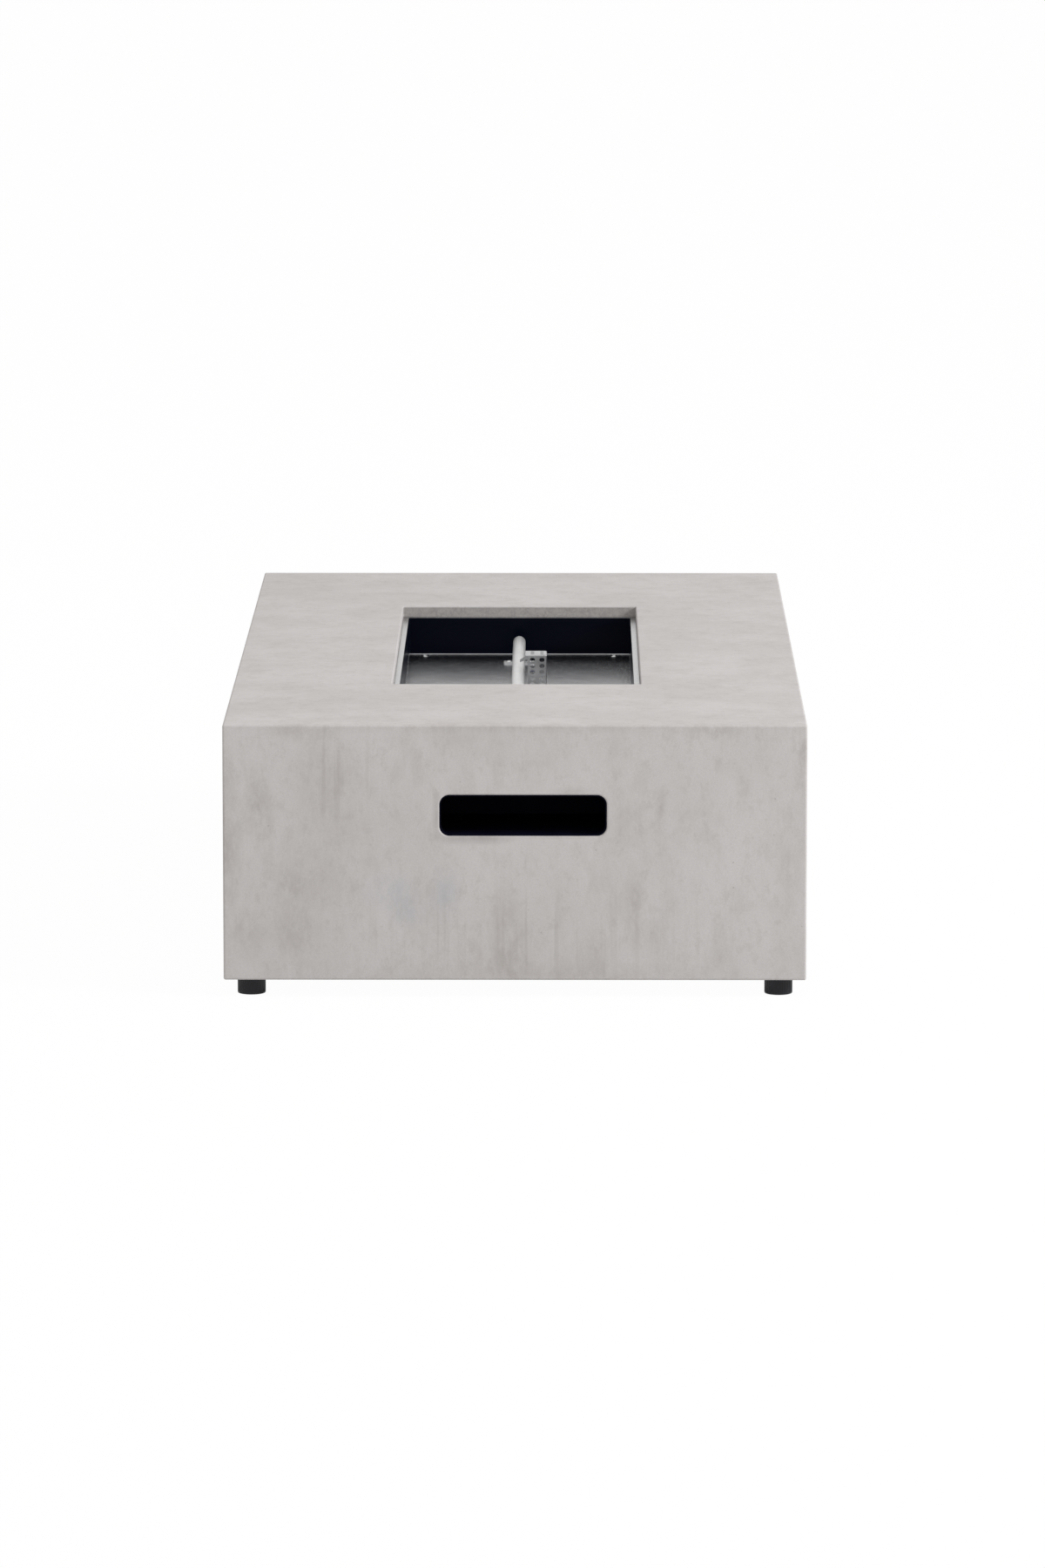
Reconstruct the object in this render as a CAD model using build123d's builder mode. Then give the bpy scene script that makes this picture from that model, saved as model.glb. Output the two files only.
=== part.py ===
"""Gas fire pit table: cast concrete body, drop-in burner pan, tube burner, controls and levelling feet.

Millimetres. +X is right, +Y is away from the control end, +Z is up. The origin is on the ground under
the middle of the table. Every piece is its own solid, written as one STEP file under parts/.
"""
from build123d import *
from math import atan2, cos, degrees, hypot, radians, sin

import os

os.makedirs("parts", exist_ok=True)

# ---------------------------------------------------------------- driving dimensions
# Cast concrete body
table_width = 711.0
table_length = 1422.0
body_height = 314.6
wall = 18.0
top_thickness = 22.0
edge_round = 2.5
hollow_corner = 20.0
ceiling_fillet = 12.0
rim_width = 26.0  # thickened rim under the edge of the fire opening
rim_depth = 46.0  # tabletop to the underside of that rim
corner_block = 68.0  # outer faces to the inner faces of the corner blocks
corner_block_height = 62.0
corner_block_round = 12.0

# Levelling feet
foot_diameter = 34.4
foot_height = 21.3
foot_inset = 33.1  # foot centre to the outer faces
foot_top_gap = 0.3
foot_edge = 1.2
foot_recess_diameter = 24.0
foot_recess_depth = 1.5
stud_diameter = 10.0
stud_grip = 14.0  # length moulded into the pad
stud_reach = 30.0  # length above the body's underside
insert_diameter = 16.0
insert_length = 36.0
insert_groove = 1.0
groove_places = (0.3, 0.7)  # along the insert, as shares of its length
stud_chamfer = 1.0

# Fire opening and burner pan
opening_width = 312.8
opening_length = 727.0
opening_corner = 2.0
opening_edge_round = 1.5
flange_drop = 13.7  # tabletop to the top of the pan flange
flange_gap = 0.6
pan_width = 297.5
pan_length = 711.7
pan_depth = 50.6
pan_sheet = 1.2
pan_bend = 2.0
pan_gap = 1.5  # pan walls to the concrete below the ledge

# Hand slot, bezel and control bay
slot_width = 203.9
slot_height = 50.5
slot_radius = 12.2
slot_centre_x = 10.0
slot_top_drop = 86.0  # tabletop to the top of the slot
slot_lip_round = 2.0
bezel_fit = 0.15
bezel_wall = 1.5
bay_side_room = 12.0  # bay wall beyond the slot, each side
bay_headroom = 38.0  # bay ceiling above the slot
bay_depth = 153.0  # table's front face to the bay's back wall
bay_flange = 14.0
bay_sheet = 1.2
bay_bend = 3.0
bay_screw_bite = 9.0

# Burner
tube_diameter = 16.8
tube_wall = 1.2
tube_length = 633.0
tube_axis_height = 22.0  # above the pan floor
cap_thickness = 1.5
port_diameter = 2.6
port_pitch = 21.0
port_count = 28
port_dip = 20.0  # degrees below level
saddle_inset = 43.5  # saddle centre to the tube's end
saddle_width = 41.0
saddle_length = 20.0
saddle_sheet = 2.0
saddle_post = 11.0
saddle_post_length = 12.0
feed_diameter = 14.0
feed_wall = 1.5
feed_bend_radius = 22.0
feed_drop = 60.0  # pan floor's underside to the axis of the feed's level leg
feed_leg = 18.0
collar_diameter = 18.0
collar_thickness = 2.0
nut_flats = 22.0
nut_height = 5.0

# Heat shield under the pan
shield_gap = 28.0
shield_side = 18.0  # heat shield beyond the pan, each side
shield_end = 13.0  # and at each end
shield_sheet = 1.0
shield_lip = 12.0
feed_pass_diameter = 36.0
sensor_pass_width = 18.0
sensor_pass_room = 12.5  # beyond the sensors' axes

# Screws: shank and head sizes by thread
m3_diameter, m3_head, m3_head_height = 3.0, 5.6, 1.8
m4_diameter, m4_head, m4_head_height = 4.0, 8.0, 1.8
m5_diameter, m5_head, m5_head_height = 5.0, 10.0, 2.2
screw_gap = 0.1  # shank to hole, radial
screw_end = 2.0  # screw end beyond its nut or thread
hole_end = 1.0  # blind hole beyond its screw
head_dome = 0.7  # domed share of a screw head's height
corner_screw_side = 21.85  # screw centre to the pan's side walls
corner_screw_end = 18.0  # screw centre to the pan's end walls
standoff_diameter = 10.0
m5_flats, m5_nut_height = 8.0, 4.0

# Sensor guard beside the burner
guard_width = 27.9
guard_length = 38.0
guard_height = 48.9  # above the pan floor
guard_offset = 1.0  # tube's side to the guard's near side
guard_start = 6.5  # front plate along Y
guard_sheet = 1.0
guard_bend = 1.6
guard_slit = 3.0  # front plate held back from the tube below the beak
beak_reach = 7.0
beak_drop = 6.2  # top of the guard to the beak's blunt end
beak_end = 3.6  # height of that end
beak_root = 6.6  # top of the guard to the beak's lower edge at the plate
hole_width = 6.9
hole_height = 5.3
hole_pitch_x = 12.4
hole_pitch_z = 8.1
hole_rows = 5
hole_top_drop = 6.6  # top of the guard to the first row
top_hole_pitch = 11.5
top_hole_rows = 3
bracket_sheet = 2.0
guard_tab = 13.0
electrode_y = 15.0
thermocouple_y = 36.0
ceramic_diameter = 7.0
ceramic_above = 18.0  # above the pan floor
sensor_below = 16.0  # below the pan
rod_diameter = 2.4
rod_rise = 5.0  # rod's level end above the tube's axis
spark_gap = 4.0
sensor_collar = 2.0
sensor_pass_gap = 0.6  # pan hole round each sensor, radial
probe_diameter = 6.4
probe_tip = 10.0
probe_tip_diameter = 4.5
small_chamfer = 1.0

# Controls on the bay's back wall
control_drop = 79.0  # tabletop to the knob's axis
control_spread = 42.0  # knob and igniter either side of the slot's centre
dial_diameter = 55.0
dial_thickness = 1.0
knob_diameter = 34.0
knob_skirt = 7.0
knob_depth = 24.0
knob_grip = 10.0
knob_flutes = 24
knob_travel = 3.0
knob_chamfer = 1.2
flute_radius = 1.2
flute_depth = 0.8
grip_inset = 1.5
pointer_width = 1.6
pointer_depth = 1.0
knob_gap = 4.0  # knob's back to the dial plate at rest
spindle_diameter = 8.0
spindle_flat = 2.8  # axis to the flat
spindle_gap = 0.1
spindle_pass_gap = 1.0  # spindle to the dial plate and the bay wall
plug_front_radius = 8.0
plug_back_radius = 6.6
plug_length = 22.0
plug_gap = 0.1
plug_end_gap = 0.4
spindle_engagement = 10.0
knob_socket = 13.0
knob_body_diameter = 28.0
bonnet_thickness = 5.0
bonnet_diameter = 36.0
bonnet_screw_spread = 26.0
bonnet_screw_bite = 9.0
valve_screw_spread = 46.0
valve_width = 38.0
valve_height = 42.0
valve_depth = 34.0
valve_round = 5.0
boss_diameter = 18.0
boss_length = 8.0
gas_bore = 5.0
outlet_side = -8.0
outlet_drop = 11.0
magnet_diameter = 15.0
magnet_length = 22.0
magnet_side = 8.0
magnet_rise = 9.0
nose_diameter = 12.0
nose_length = 10.0
inlet_diameter = 15.9
inlet_length = 16.0
inlet_flats = 19.0
inlet_hex = 8.0
inlet_chamfer = 1.5

# Push-button igniter
igniter_barrel = 22.0
igniter_flange = 27.0
igniter_flange_thickness = 2.0
igniter_cap_depth = 5.0
igniter_length = 58.0
igniter_wall = 2.0
igniter_nut_thickness = 4.0
button_diameter = 16.0
button_gap = 0.3
button_proud = 6.0
button_travel = 4.0
button_collar = 1.4
button_collar_thickness = 2.0
button_edge = 2.0
battery_diameter = 14.2
battery_length = 49.0
battery_gap = 0.3
battery_edge = 0.8
battery_tip = 1.0
battery_tip_diameter = 5.6
terminal_width = 4.8
terminal_length = 8.0
terminal_thickness = 0.8

# Gas train under the pan
mixer_diameter = 22.0
mixer_length = 50.0
mixer_window_length = 20.0
mixer_window_width = 9.0
orifice_flats = 14.0
orifice_hex = 8.0
orifice_bore = 1.4
flex_diameter = 12.0
flex_wall = 1.0
flex_runs = (32.0, 104.0, 100.0)  # level run, end of the slope, last level run
flex_side = 16.0
flex_rise = 4.0
flare_nut_flats = 17.0
flare_nut_length = 18.0
thermocouple_nut_flats = 10.0
thermocouple_nut_length = 9.0
wire_diameter = 3.0
wire_drop = 9.0  # heat shield's underside to the axis of the wires
clip_sheet = 1.0
clip_width = 8.0
clip_gap = 0.2
wire_left_x = -30.0
wire_right_x = 56.0
wire_low_z = 224.5  # under the heat shield's lip
wire_exit = 26.0
lead_exit = 34.0
wire_bends = (-52.0, 22.0, 54.0)  # along Y from the heat shield's front edge
crossing_y = -165.0
crossing_length = 105.0
clip_places = (82.0, 130.0)  # along Y from the heat shield's front edge

# ---------------------------------------------------------------- derived levels and places
underside_z = foot_height
top_z = underside_z + body_height
ceiling_z = top_z - top_thickness
front_y = -table_length / 2
wall_inside_y = front_y + wall
hollow_width = table_width - 2 * wall
hollow_length = table_length - 2 * wall
foot_pitch_x = table_width - 2 * foot_inset
foot_pitch_y = table_length - 2 * foot_inset

flange_z = top_z - flange_drop
floor_z = flange_z - pan_depth  # pan floor, upper face
pan_under_z = floor_z - pan_sheet
pan_outer_width = pan_width + 2 * pan_sheet
pan_outer_length = pan_length + 2 * pan_sheet
corner_pitch_x = pan_width - 2 * corner_screw_side
corner_pitch_y = pan_length - 2 * corner_screw_end
shield_z = pan_under_z - shield_gap  # heat shield, upper face
shield_under_z = shield_z - shield_sheet
shield_width = pan_outer_width + 2 * shield_side
shield_length = pan_outer_length + 2 * shield_end

slot_z = top_z - slot_top_drop - slot_height / 2
bezel_outer_width = slot_width - 2 * bezel_fit
bezel_outer_height = slot_height - 2 * bezel_fit
bezel_inner_width = bezel_outer_width - 2 * bezel_wall
bezel_inner_height = bezel_outer_height - 2 * bezel_wall
bay_width = slot_width + 2 * bay_side_room
bay_floor_z = slot_z - bezel_inner_height / 2
bay_ceiling_z = slot_z + slot_height / 2 + bay_headroom
bay_height = bay_ceiling_z - bay_floor_z
bay_middle_z = bay_floor_z + bay_height / 2
bay_mouth_y = wall_inside_y + bezel_wall
bay_back_y = front_y + bay_depth
bay_rear_y = bay_back_y + bay_sheet

tube_z = floor_z + tube_axis_height
tube_radius = tube_diameter / 2
saddle_y = tube_length / 2 - saddle_inset
saddle_screw_x = (saddle_width + saddle_post) / 4
guard_x = tube_radius + guard_offset
guard_right = guard_x + guard_width
guard_top_z = floor_z + guard_height
guard_middle_y = guard_start + guard_length / 2
guard_face_x = (guard_x + guard_slit + guard_right) / 2
sensor_x = guard_face_x  # behind the web between the columns of holes
guard_screw_x = guard_right + guard_tab / 2
bracket_z = floor_z + bracket_sheet
sensor_middle_y = (electrode_y + thermocouple_y) / 2
sensor_pass_length = thermocouple_y - electrode_y + 2 * sensor_pass_room

knob_x = slot_centre_x + control_spread
igniter_x = slot_centre_x - control_spread
control_z = top_z - control_drop
dial_y = bay_back_y - dial_thickness
valve_y = bay_rear_y + bonnet_thickness
valve_rear_y = valve_y + valve_depth
plug_y = valve_y + plug_end_gap
outlet_x = knob_x + outlet_side
outlet_z = control_z - outlet_drop
outlet_end_y = valve_rear_y + boss_length + nose_length
magnet_x = knob_x + magnet_side
magnet_z = control_z + magnet_rise
magnet_end_y = valve_rear_y + magnet_length
inlet_y = valve_y + valve_depth / 2
inlet_hex_z = control_z - valve_height / 2 - boss_length
igniter_end_y = bay_back_y + igniter_length
battery_start_y = bay_back_y + button_travel + battery_gap
button_bore = button_diameter / 2 + button_gap
outlet_angle = degrees(atan2(-outlet_side, outlet_drop))  # outlet passage from straight down

feed_z = pan_under_z - feed_drop
feed_end_y = -(feed_bend_radius + feed_leg)
mixer_start_y = feed_end_y + feed_leg / 2
mixer_end_y = mixer_start_y - mixer_length
orifice_hex_y = mixer_end_y - orifice_hex
orifice_end_y = orifice_hex_y - nose_length
wire_z = shield_under_z - wire_drop
shield_front_y = -shield_length / 2
ceramic_low_z = pan_under_z - sensor_below
ceramic_high_z = floor_z + ceramic_above


def face_plane(x, y, z):
    """Plane square to Y: sketch x along +X, sketch y along +Z, positive extrusion towards the user."""
    return Plane(origin=(x, y, z), x_dir=(1, 0, 0), z_dir=(0, -1, 0))


def side_plane(x, y, z):
    """Plane square to X: sketch x along +Y, sketch y along +Z, positive extrusion towards +X."""
    return Plane(origin=(x, y, z), x_dir=(0, 1, 0), z_dir=(1, 0, 0))


def hexagon(flats):
    """Hexagon by its size across flats, for a nut or a fitting."""
    return RegularPolygon(flats / 2, 6, major_radius=False)


def flatted_circle(radius, flat):
    """Circle with one flat on its upper side, for a spindle or its socket."""
    Circle(radius)
    with Locations((0, flat + radius)):
        Rectangle(4 * radius, 2 * radius, mode=Mode.SUBTRACT)


def rounded_path(points, reach=0.45):
    """Straight runs joined by arcs, each as large as its two runs allow."""
    corners = [Vector(*point) for point in points]
    radii = []
    for before, corner, after in zip(corners, corners[1:], corners[2:]):
        first, second = corner - before, after - corner
        half_turn = radians(first.get_angle(second)) / 2
        radii.append(reach * min(first.length, second.length) * cos(half_turn) / sin(half_turn))
    return FilletPolyline(*corners, radius=radii)


# ---------------------------------------------------------------- cast body and feet
with BuildPart() as concrete_shell:
    with BuildSketch(Plane.XY.offset(underside_z)):
        Rectangle(table_width, table_length)
    extrude(amount=body_height)
    fillet(concrete_shell.edges(), edge_round)
    # Hollow, open underneath
    with BuildSketch(Plane.XY.offset(underside_z)):
        RectangleRounded(hollow_width, hollow_length, hollow_corner)
    extrude(amount=ceiling_z - underside_z, mode=Mode.SUBTRACT)
    fillet(concrete_shell.edges().filter_by_position(Axis.Z, ceiling_z, ceiling_z), ceiling_fillet)
    # Corner blocks that hold the foot inserts
    block_side = corner_block - wall / 2
    block_pitch = wall + block_side
    with BuildSketch(Plane.XY.offset(underside_z)):
        with GridLocations(table_width - block_pitch, table_length - block_pitch, 2, 2):
            RectangleRounded(block_side, block_side, corner_block_round)
    extrude(amount=corner_block_height)
    with BuildSketch(Plane.XY.offset(underside_z)):
        with GridLocations(foot_pitch_x, foot_pitch_y, 2, 2):
            Circle(insert_diameter / 2)
    extrude(amount=insert_length, mode=Mode.SUBTRACT)
    # Thick rim, ledge and fire opening
    with BuildSketch(Plane.XY.offset(top_z - rim_depth)):
        Rectangle(opening_width + 2 * rim_width, opening_length + 2 * rim_width)
    extrude(amount=rim_depth - top_thickness)
    with BuildSketch(Plane.XY.offset(top_z)):
        RectangleRounded(opening_width, opening_length, opening_corner)
    extrude(amount=-(flange_drop + pan_sheet), mode=Mode.SUBTRACT)
    with BuildSketch(Plane.XY.offset(top_z)):
        Rectangle(pan_outer_width + 2 * pan_gap, pan_outer_length + 2 * pan_gap)
    extrude(amount=-rim_depth, mode=Mode.SUBTRACT)
    fillet(concrete_shell.faces().sort_by(Axis.Z)[-1].inner_wires()[0].edges(), opening_edge_round)
    # Hand slot through the end wall, and blind holes for the bay screws
    with BuildSketch(face_plane(slot_centre_x, front_y, slot_z)):
        RectangleRounded(slot_width, slot_height, slot_radius)
    extrude(amount=-wall, mode=Mode.SUBTRACT)
    fillet(concrete_shell.faces().sort_by(Axis.Y)[0].inner_wires()[0].edges(), slot_lip_round)
    with BuildSketch(face_plane(slot_centre_x, wall_inside_y, bay_middle_z)):
        with GridLocations(bay_width + bay_flange, bay_height + bay_flange, 2, 2):
            Circle(m4_diameter / 2 + screw_gap)
    extrude(amount=bay_screw_bite + hole_end, mode=Mode.SUBTRACT)
concrete_shell.part.label = "concrete_shell"
export_step(concrete_shell.part, "parts/concrete_shell.step")

with BuildPart() as foot_inserts:
    with BuildSketch(Plane.XY.offset(underside_z)):
        with GridLocations(foot_pitch_x, foot_pitch_y, 2, 2):
            Circle(insert_diameter / 2)
            Circle(stud_diameter / 2 + spindle_gap, mode=Mode.SUBTRACT)
    extrude(amount=insert_length)
    for share in groove_places:
        with BuildSketch(Plane.XY.offset(underside_z + share * insert_length)):
            with GridLocations(foot_pitch_x, foot_pitch_y, 2, 2):
                Circle(insert_diameter / 2)
                Circle(insert_diameter / 2 - insert_groove, mode=Mode.SUBTRACT)
        extrude(amount=2 * insert_groove, mode=Mode.SUBTRACT)
foot_inserts.part.label = "foot_inserts"
export_step(foot_inserts.part, "parts/foot_inserts.step")

foot_places = {
    "front_left": (-1, -1),
    "front_right": (1, -1),
    "back_left": (-1, 1),
    "back_right": (1, 1),
}
for place, (side_x, side_y) in foot_places.items():
    foot_plane = Plane(origin=(side_x * foot_pitch_x / 2, side_y * foot_pitch_y / 2, 0))
    pad_height = foot_height - foot_top_gap
    with BuildPart() as foot_pad:
        with BuildSketch(foot_plane):
            Circle(foot_diameter / 2)
        extrude(amount=pad_height)
        chamfer(foot_pad.edges().group_by(Axis.Z)[-1], foot_edge / 3)
        fillet(foot_pad.edges().group_by(Axis.Z)[0], foot_edge)
        with BuildSketch(foot_plane):
            Circle(foot_recess_diameter / 2)
        extrude(amount=foot_recess_depth, mode=Mode.SUBTRACT)
        with BuildSketch(foot_plane.offset(pad_height)):
            Circle(stud_diameter / 2)
        extrude(amount=-stud_grip, mode=Mode.SUBTRACT)
    foot_pad.part.label = f"foot_pad_{place}"
    export_step(foot_pad.part, f"parts/foot_pad_{place}.step")

    with BuildPart() as foot_stud:
        with BuildSketch(foot_plane.offset(pad_height - stud_grip)):
            Circle(stud_diameter / 2)
        extrude(amount=stud_grip + foot_top_gap + stud_reach)
        chamfer(foot_stud.edges().group_by(Axis.Z)[-1], stud_chamfer)
    foot_stud.part.label = f"foot_stud_{place}"
    export_step(foot_stud.part, f"parts/foot_stud_{place}.step")

# ---------------------------------------------------------------- hand slot and control bay
with BuildPart() as slot_bezel:
    with BuildSketch(face_plane(slot_centre_x, bay_mouth_y, slot_z)):
        RectangleRounded(bezel_outer_width, bezel_outer_height, slot_radius - bezel_fit)
    extrude(amount=bezel_wall + wall - slot_lip_round)
    with BuildSketch(face_plane(slot_centre_x, bay_mouth_y, bay_middle_z)):
        Rectangle(bay_width + 2 * bay_flange, bay_height + 2 * bay_flange)
        with GridLocations(bay_width + bay_flange, bay_height + bay_flange, 2, 2):
            Circle(m4_diameter / 2 + screw_gap, mode=Mode.SUBTRACT)
    extrude(amount=bezel_wall)
    with BuildSketch(face_plane(slot_centre_x, bay_mouth_y, slot_z)):
        RectangleRounded(bezel_inner_width, bezel_inner_height, slot_radius - bezel_fit - bezel_wall)
    extrude(amount=bezel_wall + wall, mode=Mode.SUBTRACT)
slot_bezel.part.label = "slot_bezel"
export_step(slot_bezel.part, "parts/slot_bezel.step")

with BuildPart() as control_bay:
    with BuildSketch(face_plane(slot_centre_x, bay_rear_y, bay_middle_z)):
        Rectangle(bay_width + 2 * bay_sheet, bay_height + 2 * bay_sheet)
    extrude(amount=bay_rear_y - bay_mouth_y)
    mouth_edges = control_bay.edges().group_by(Axis.Y)[0]
    fillet(control_bay.edges() - mouth_edges, bay_bend + bay_sheet)
    offset(amount=-bay_sheet, openings=control_bay.faces().sort_by(Axis.Y)[0])
    with BuildSketch(face_plane(slot_centre_x, bay_mouth_y, bay_middle_z)):
        Rectangle(bay_width + 2 * bay_flange, bay_height + 2 * bay_flange)
        RectangleRounded(bay_width, bay_height, bay_bend, mode=Mode.SUBTRACT)
        with GridLocations(bay_width + bay_flange, bay_height + bay_flange, 2, 2):
            Circle(m4_diameter / 2 + screw_gap, mode=Mode.SUBTRACT)
    extrude(amount=-bay_sheet)
    # Holes in the back wall for the spindle, the valve screws and the igniter barrel
    with BuildSketch(face_plane(0, bay_rear_y, control_z)):
        with Locations((knob_x, 0)):
            Circle(spindle_diameter / 2 + spindle_pass_gap)
            with GridLocations(valve_screw_spread, 1, 2, 1):
                Circle(m4_diameter / 2 + screw_gap)
        with Locations((igniter_x, 0)):
            Circle(igniter_barrel / 2 + screw_gap)
    extrude(amount=bay_sheet, mode=Mode.SUBTRACT)
control_bay.part.label = "control_bay"
export_step(control_bay.part, "parts/control_bay.step")

with BuildPart() as bay_screws:
    screw_seat_y = bay_mouth_y + bay_sheet
    with BuildSketch(face_plane(slot_centre_x, screw_seat_y, bay_middle_z)):
        with GridLocations(bay_width + bay_flange, bay_height + bay_flange, 2, 2):
            Circle(m4_diameter / 2)
    extrude(amount=screw_seat_y - wall_inside_y + bay_screw_bite)
    with BuildSketch(face_plane(slot_centre_x, screw_seat_y, bay_middle_z)):
        with GridLocations(bay_width + bay_flange, bay_height + bay_flange, 2, 2):
            Circle(m4_head / 2)
    extrude(amount=-m4_head_height)
    fillet(bay_screws.edges().group_by(Axis.Y)[-1], head_dome * m4_head_height)
bay_screws.part.label = "bay_screws"
export_step(bay_screws.part, "parts/bay_screws.step")

# ---------------------------------------------------------------- burner pan and heat shield
with BuildPart() as burner_pan:
    with BuildSketch(Plane.XY.offset(pan_under_z)):
        Rectangle(pan_outer_width, pan_outer_length)
    extrude(amount=flange_z - pan_under_z)
    pan_rim_edges = burner_pan.edges().group_by(Axis.Z)[-1]
    fillet(burner_pan.edges() - pan_rim_edges, pan_bend + pan_sheet)
    offset(amount=-pan_sheet, openings=burner_pan.faces().sort_by(Axis.Z)[-1])
    with BuildSketch(Plane.XY.offset(flange_z)):
        Rectangle(opening_width - 2 * flange_gap, opening_length - 2 * flange_gap)
        RectangleRounded(pan_width, pan_length, pan_bend, mode=Mode.SUBTRACT)
    extrude(amount=-pan_sheet)
    with BuildSketch(Plane.XY.offset(floor_z)):
        Circle(feed_diameter / 2 + screw_gap)
        with GridLocations(corner_pitch_x, corner_pitch_y, 2, 2):
            Circle(m5_diameter / 2 + screw_gap)
        with GridLocations(2 * saddle_screw_x, 2 * saddle_y, 2, 2):
            Circle(m4_diameter / 2 + screw_gap)
        with Locations((sensor_x, electrode_y)):
            Circle(ceramic_diameter / 2 + sensor_pass_gap)
        with Locations((sensor_x, thermocouple_y)):
            Circle(probe_diameter / 2 + sensor_pass_gap)
        with Locations((guard_screw_x, guard_middle_y)):
            with GridLocations(1, guard_length / 2, 1, 2):
                Circle(m3_diameter / 2 + screw_gap)
    extrude(amount=-pan_sheet, mode=Mode.SUBTRACT)
burner_pan.part.label = "burner_pan"
export_step(burner_pan.part, "parts/burner_pan.step")

with BuildPart() as heat_shield:
    with BuildSketch(Plane.XY.offset(shield_z - shield_lip)):
        Rectangle(shield_width, shield_length)
    extrude(amount=shield_lip)
    lip_edges = heat_shield.edges().group_by(Axis.Z)[0]
    fillet(heat_shield.edges() - lip_edges, pan_bend + shield_sheet)
    offset(amount=-shield_sheet, openings=heat_shield.faces().sort_by(Axis.Z)[0])
    with BuildSketch(Plane.XY.offset(shield_z)):
        Circle(feed_pass_diameter / 2)
        with Locations((sensor_x, sensor_middle_y)):
            SlotOverall(sensor_pass_length, sensor_pass_width, rotation=90)
        with GridLocations(corner_pitch_x, corner_pitch_y, 2, 2):
            Circle(m5_diameter / 2 + screw_gap)
    extrude(amount=-shield_sheet, mode=Mode.SUBTRACT)
heat_shield.part.label = "heat_shield"
export_step(heat_shield.part, "parts/heat_shield.step")

with BuildPart() as shield_standoffs:
    with BuildSketch(Plane.XY.offset(shield_z)):
        with GridLocations(corner_pitch_x, corner_pitch_y, 2, 2):
            Circle(standoff_diameter / 2)
            Circle(m5_diameter / 2 + screw_gap, mode=Mode.SUBTRACT)
    extrude(amount=shield_gap)
shield_standoffs.part.label = "shield_standoffs"
export_step(shield_standoffs.part, "parts/shield_standoffs.step")

with BuildPart() as pan_corner_screws:
    with BuildSketch(Plane.XY.offset(floor_z)):
        with GridLocations(corner_pitch_x, corner_pitch_y, 2, 2):
            Circle(m5_diameter / 2)
    extrude(amount=-(pan_sheet + shield_gap + shield_sheet + m5_nut_height + screw_end))
    with BuildSketch(Plane.XY.offset(floor_z)):
        with GridLocations(corner_pitch_x, corner_pitch_y, 2, 2):
            Circle(m5_head / 2)
    extrude(amount=m5_head_height)
    fillet(pan_corner_screws.edges().group_by(Axis.Z)[-1], head_dome * m5_head_height)
pan_corner_screws.part.label = "pan_corner_screws"
export_step(pan_corner_screws.part, "parts/pan_corner_screws.step")

with BuildPart() as shield_nuts:
    with BuildSketch(Plane.XY.offset(shield_under_z)):
        with GridLocations(corner_pitch_x, corner_pitch_y, 2, 2):
            hexagon(m5_flats)
            Circle(m5_diameter / 2 + screw_gap, mode=Mode.SUBTRACT)
    extrude(amount=-m5_nut_height)
shield_nuts.part.label = "shield_nuts"
export_step(shield_nuts.part, "parts/shield_nuts.step")

# ---------------------------------------------------------------- burner
with BuildPart() as burner_tube:
    with BuildSketch(face_plane(0, tube_length / 2, tube_z)):
        Circle(tube_radius)
        Circle(tube_radius - tube_wall, mode=Mode.SUBTRACT)
    extrude(amount=tube_length)
    # Two rows of gas ports, a little below level, one row on each side
    for side in (-1, 1):
        dip = radians(port_dip)
        port_plane = Plane(origin=(0, 0, tube_z), x_dir=(0, 1, 0), z_dir=(side * cos(dip), 0, -sin(dip)))
        with BuildSketch(port_plane):
            with GridLocations(port_pitch, 1, port_count, 1):
                Circle(port_diameter / 2)
        extrude(amount=tube_diameter, mode=Mode.SUBTRACT)
    # Gas enters from the feed pipe under the middle
    with BuildSketch(Plane.XY.offset(tube_z)):
        Circle(feed_diameter / 2 - feed_wall)
    extrude(amount=-tube_diameter, mode=Mode.SUBTRACT)
burner_tube.part.label = "burner_tube"
export_step(burner_tube.part, "parts/burner_tube.step")

with BuildPart() as tube_end_caps:
    for end_y in (-tube_length / 2 + cap_thickness, tube_length / 2):
        with BuildSketch(face_plane(0, end_y, tube_z)):
            Circle(tube_radius - tube_wall)
        extrude(amount=cap_thickness)
tube_end_caps.part.label = "tube_end_caps"
export_step(tube_end_caps.part, "parts/tube_end_caps.step")

with BuildPart() as burner_saddles:
    with BuildSketch(Plane.XY.offset(floor_z)):
        with GridLocations(1, 2 * saddle_y, 1, 2):
            Rectangle(saddle_width, saddle_length)
    extrude(amount=saddle_sheet)
    fillet(burner_saddles.edges().filter_by(Axis.Z), saddle_sheet)
    with BuildSketch(Plane.XY.offset(floor_z)):
        with GridLocations(2 * saddle_screw_x, 2 * saddle_y, 2, 2):
            Circle(m4_diameter / 2 + screw_gap)
    extrude(amount=saddle_sheet, mode=Mode.SUBTRACT)
    # Posts that carry the tube in a hollow cut to its radius
    with BuildSketch(Plane.XY.offset(floor_z)):
        with GridLocations(1, 2 * saddle_y, 1, 2):
            Rectangle(saddle_post, saddle_post_length)
    extrude(amount=tube_axis_height - tube_radius / 2)
    with BuildSketch(face_plane(0, tube_length / 2, tube_z)):
        Circle(tube_radius)
    extrude(amount=tube_length, mode=Mode.SUBTRACT)
burner_saddles.part.label = "burner_saddles"
export_step(burner_saddles.part, "parts/burner_saddles.step")

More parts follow.
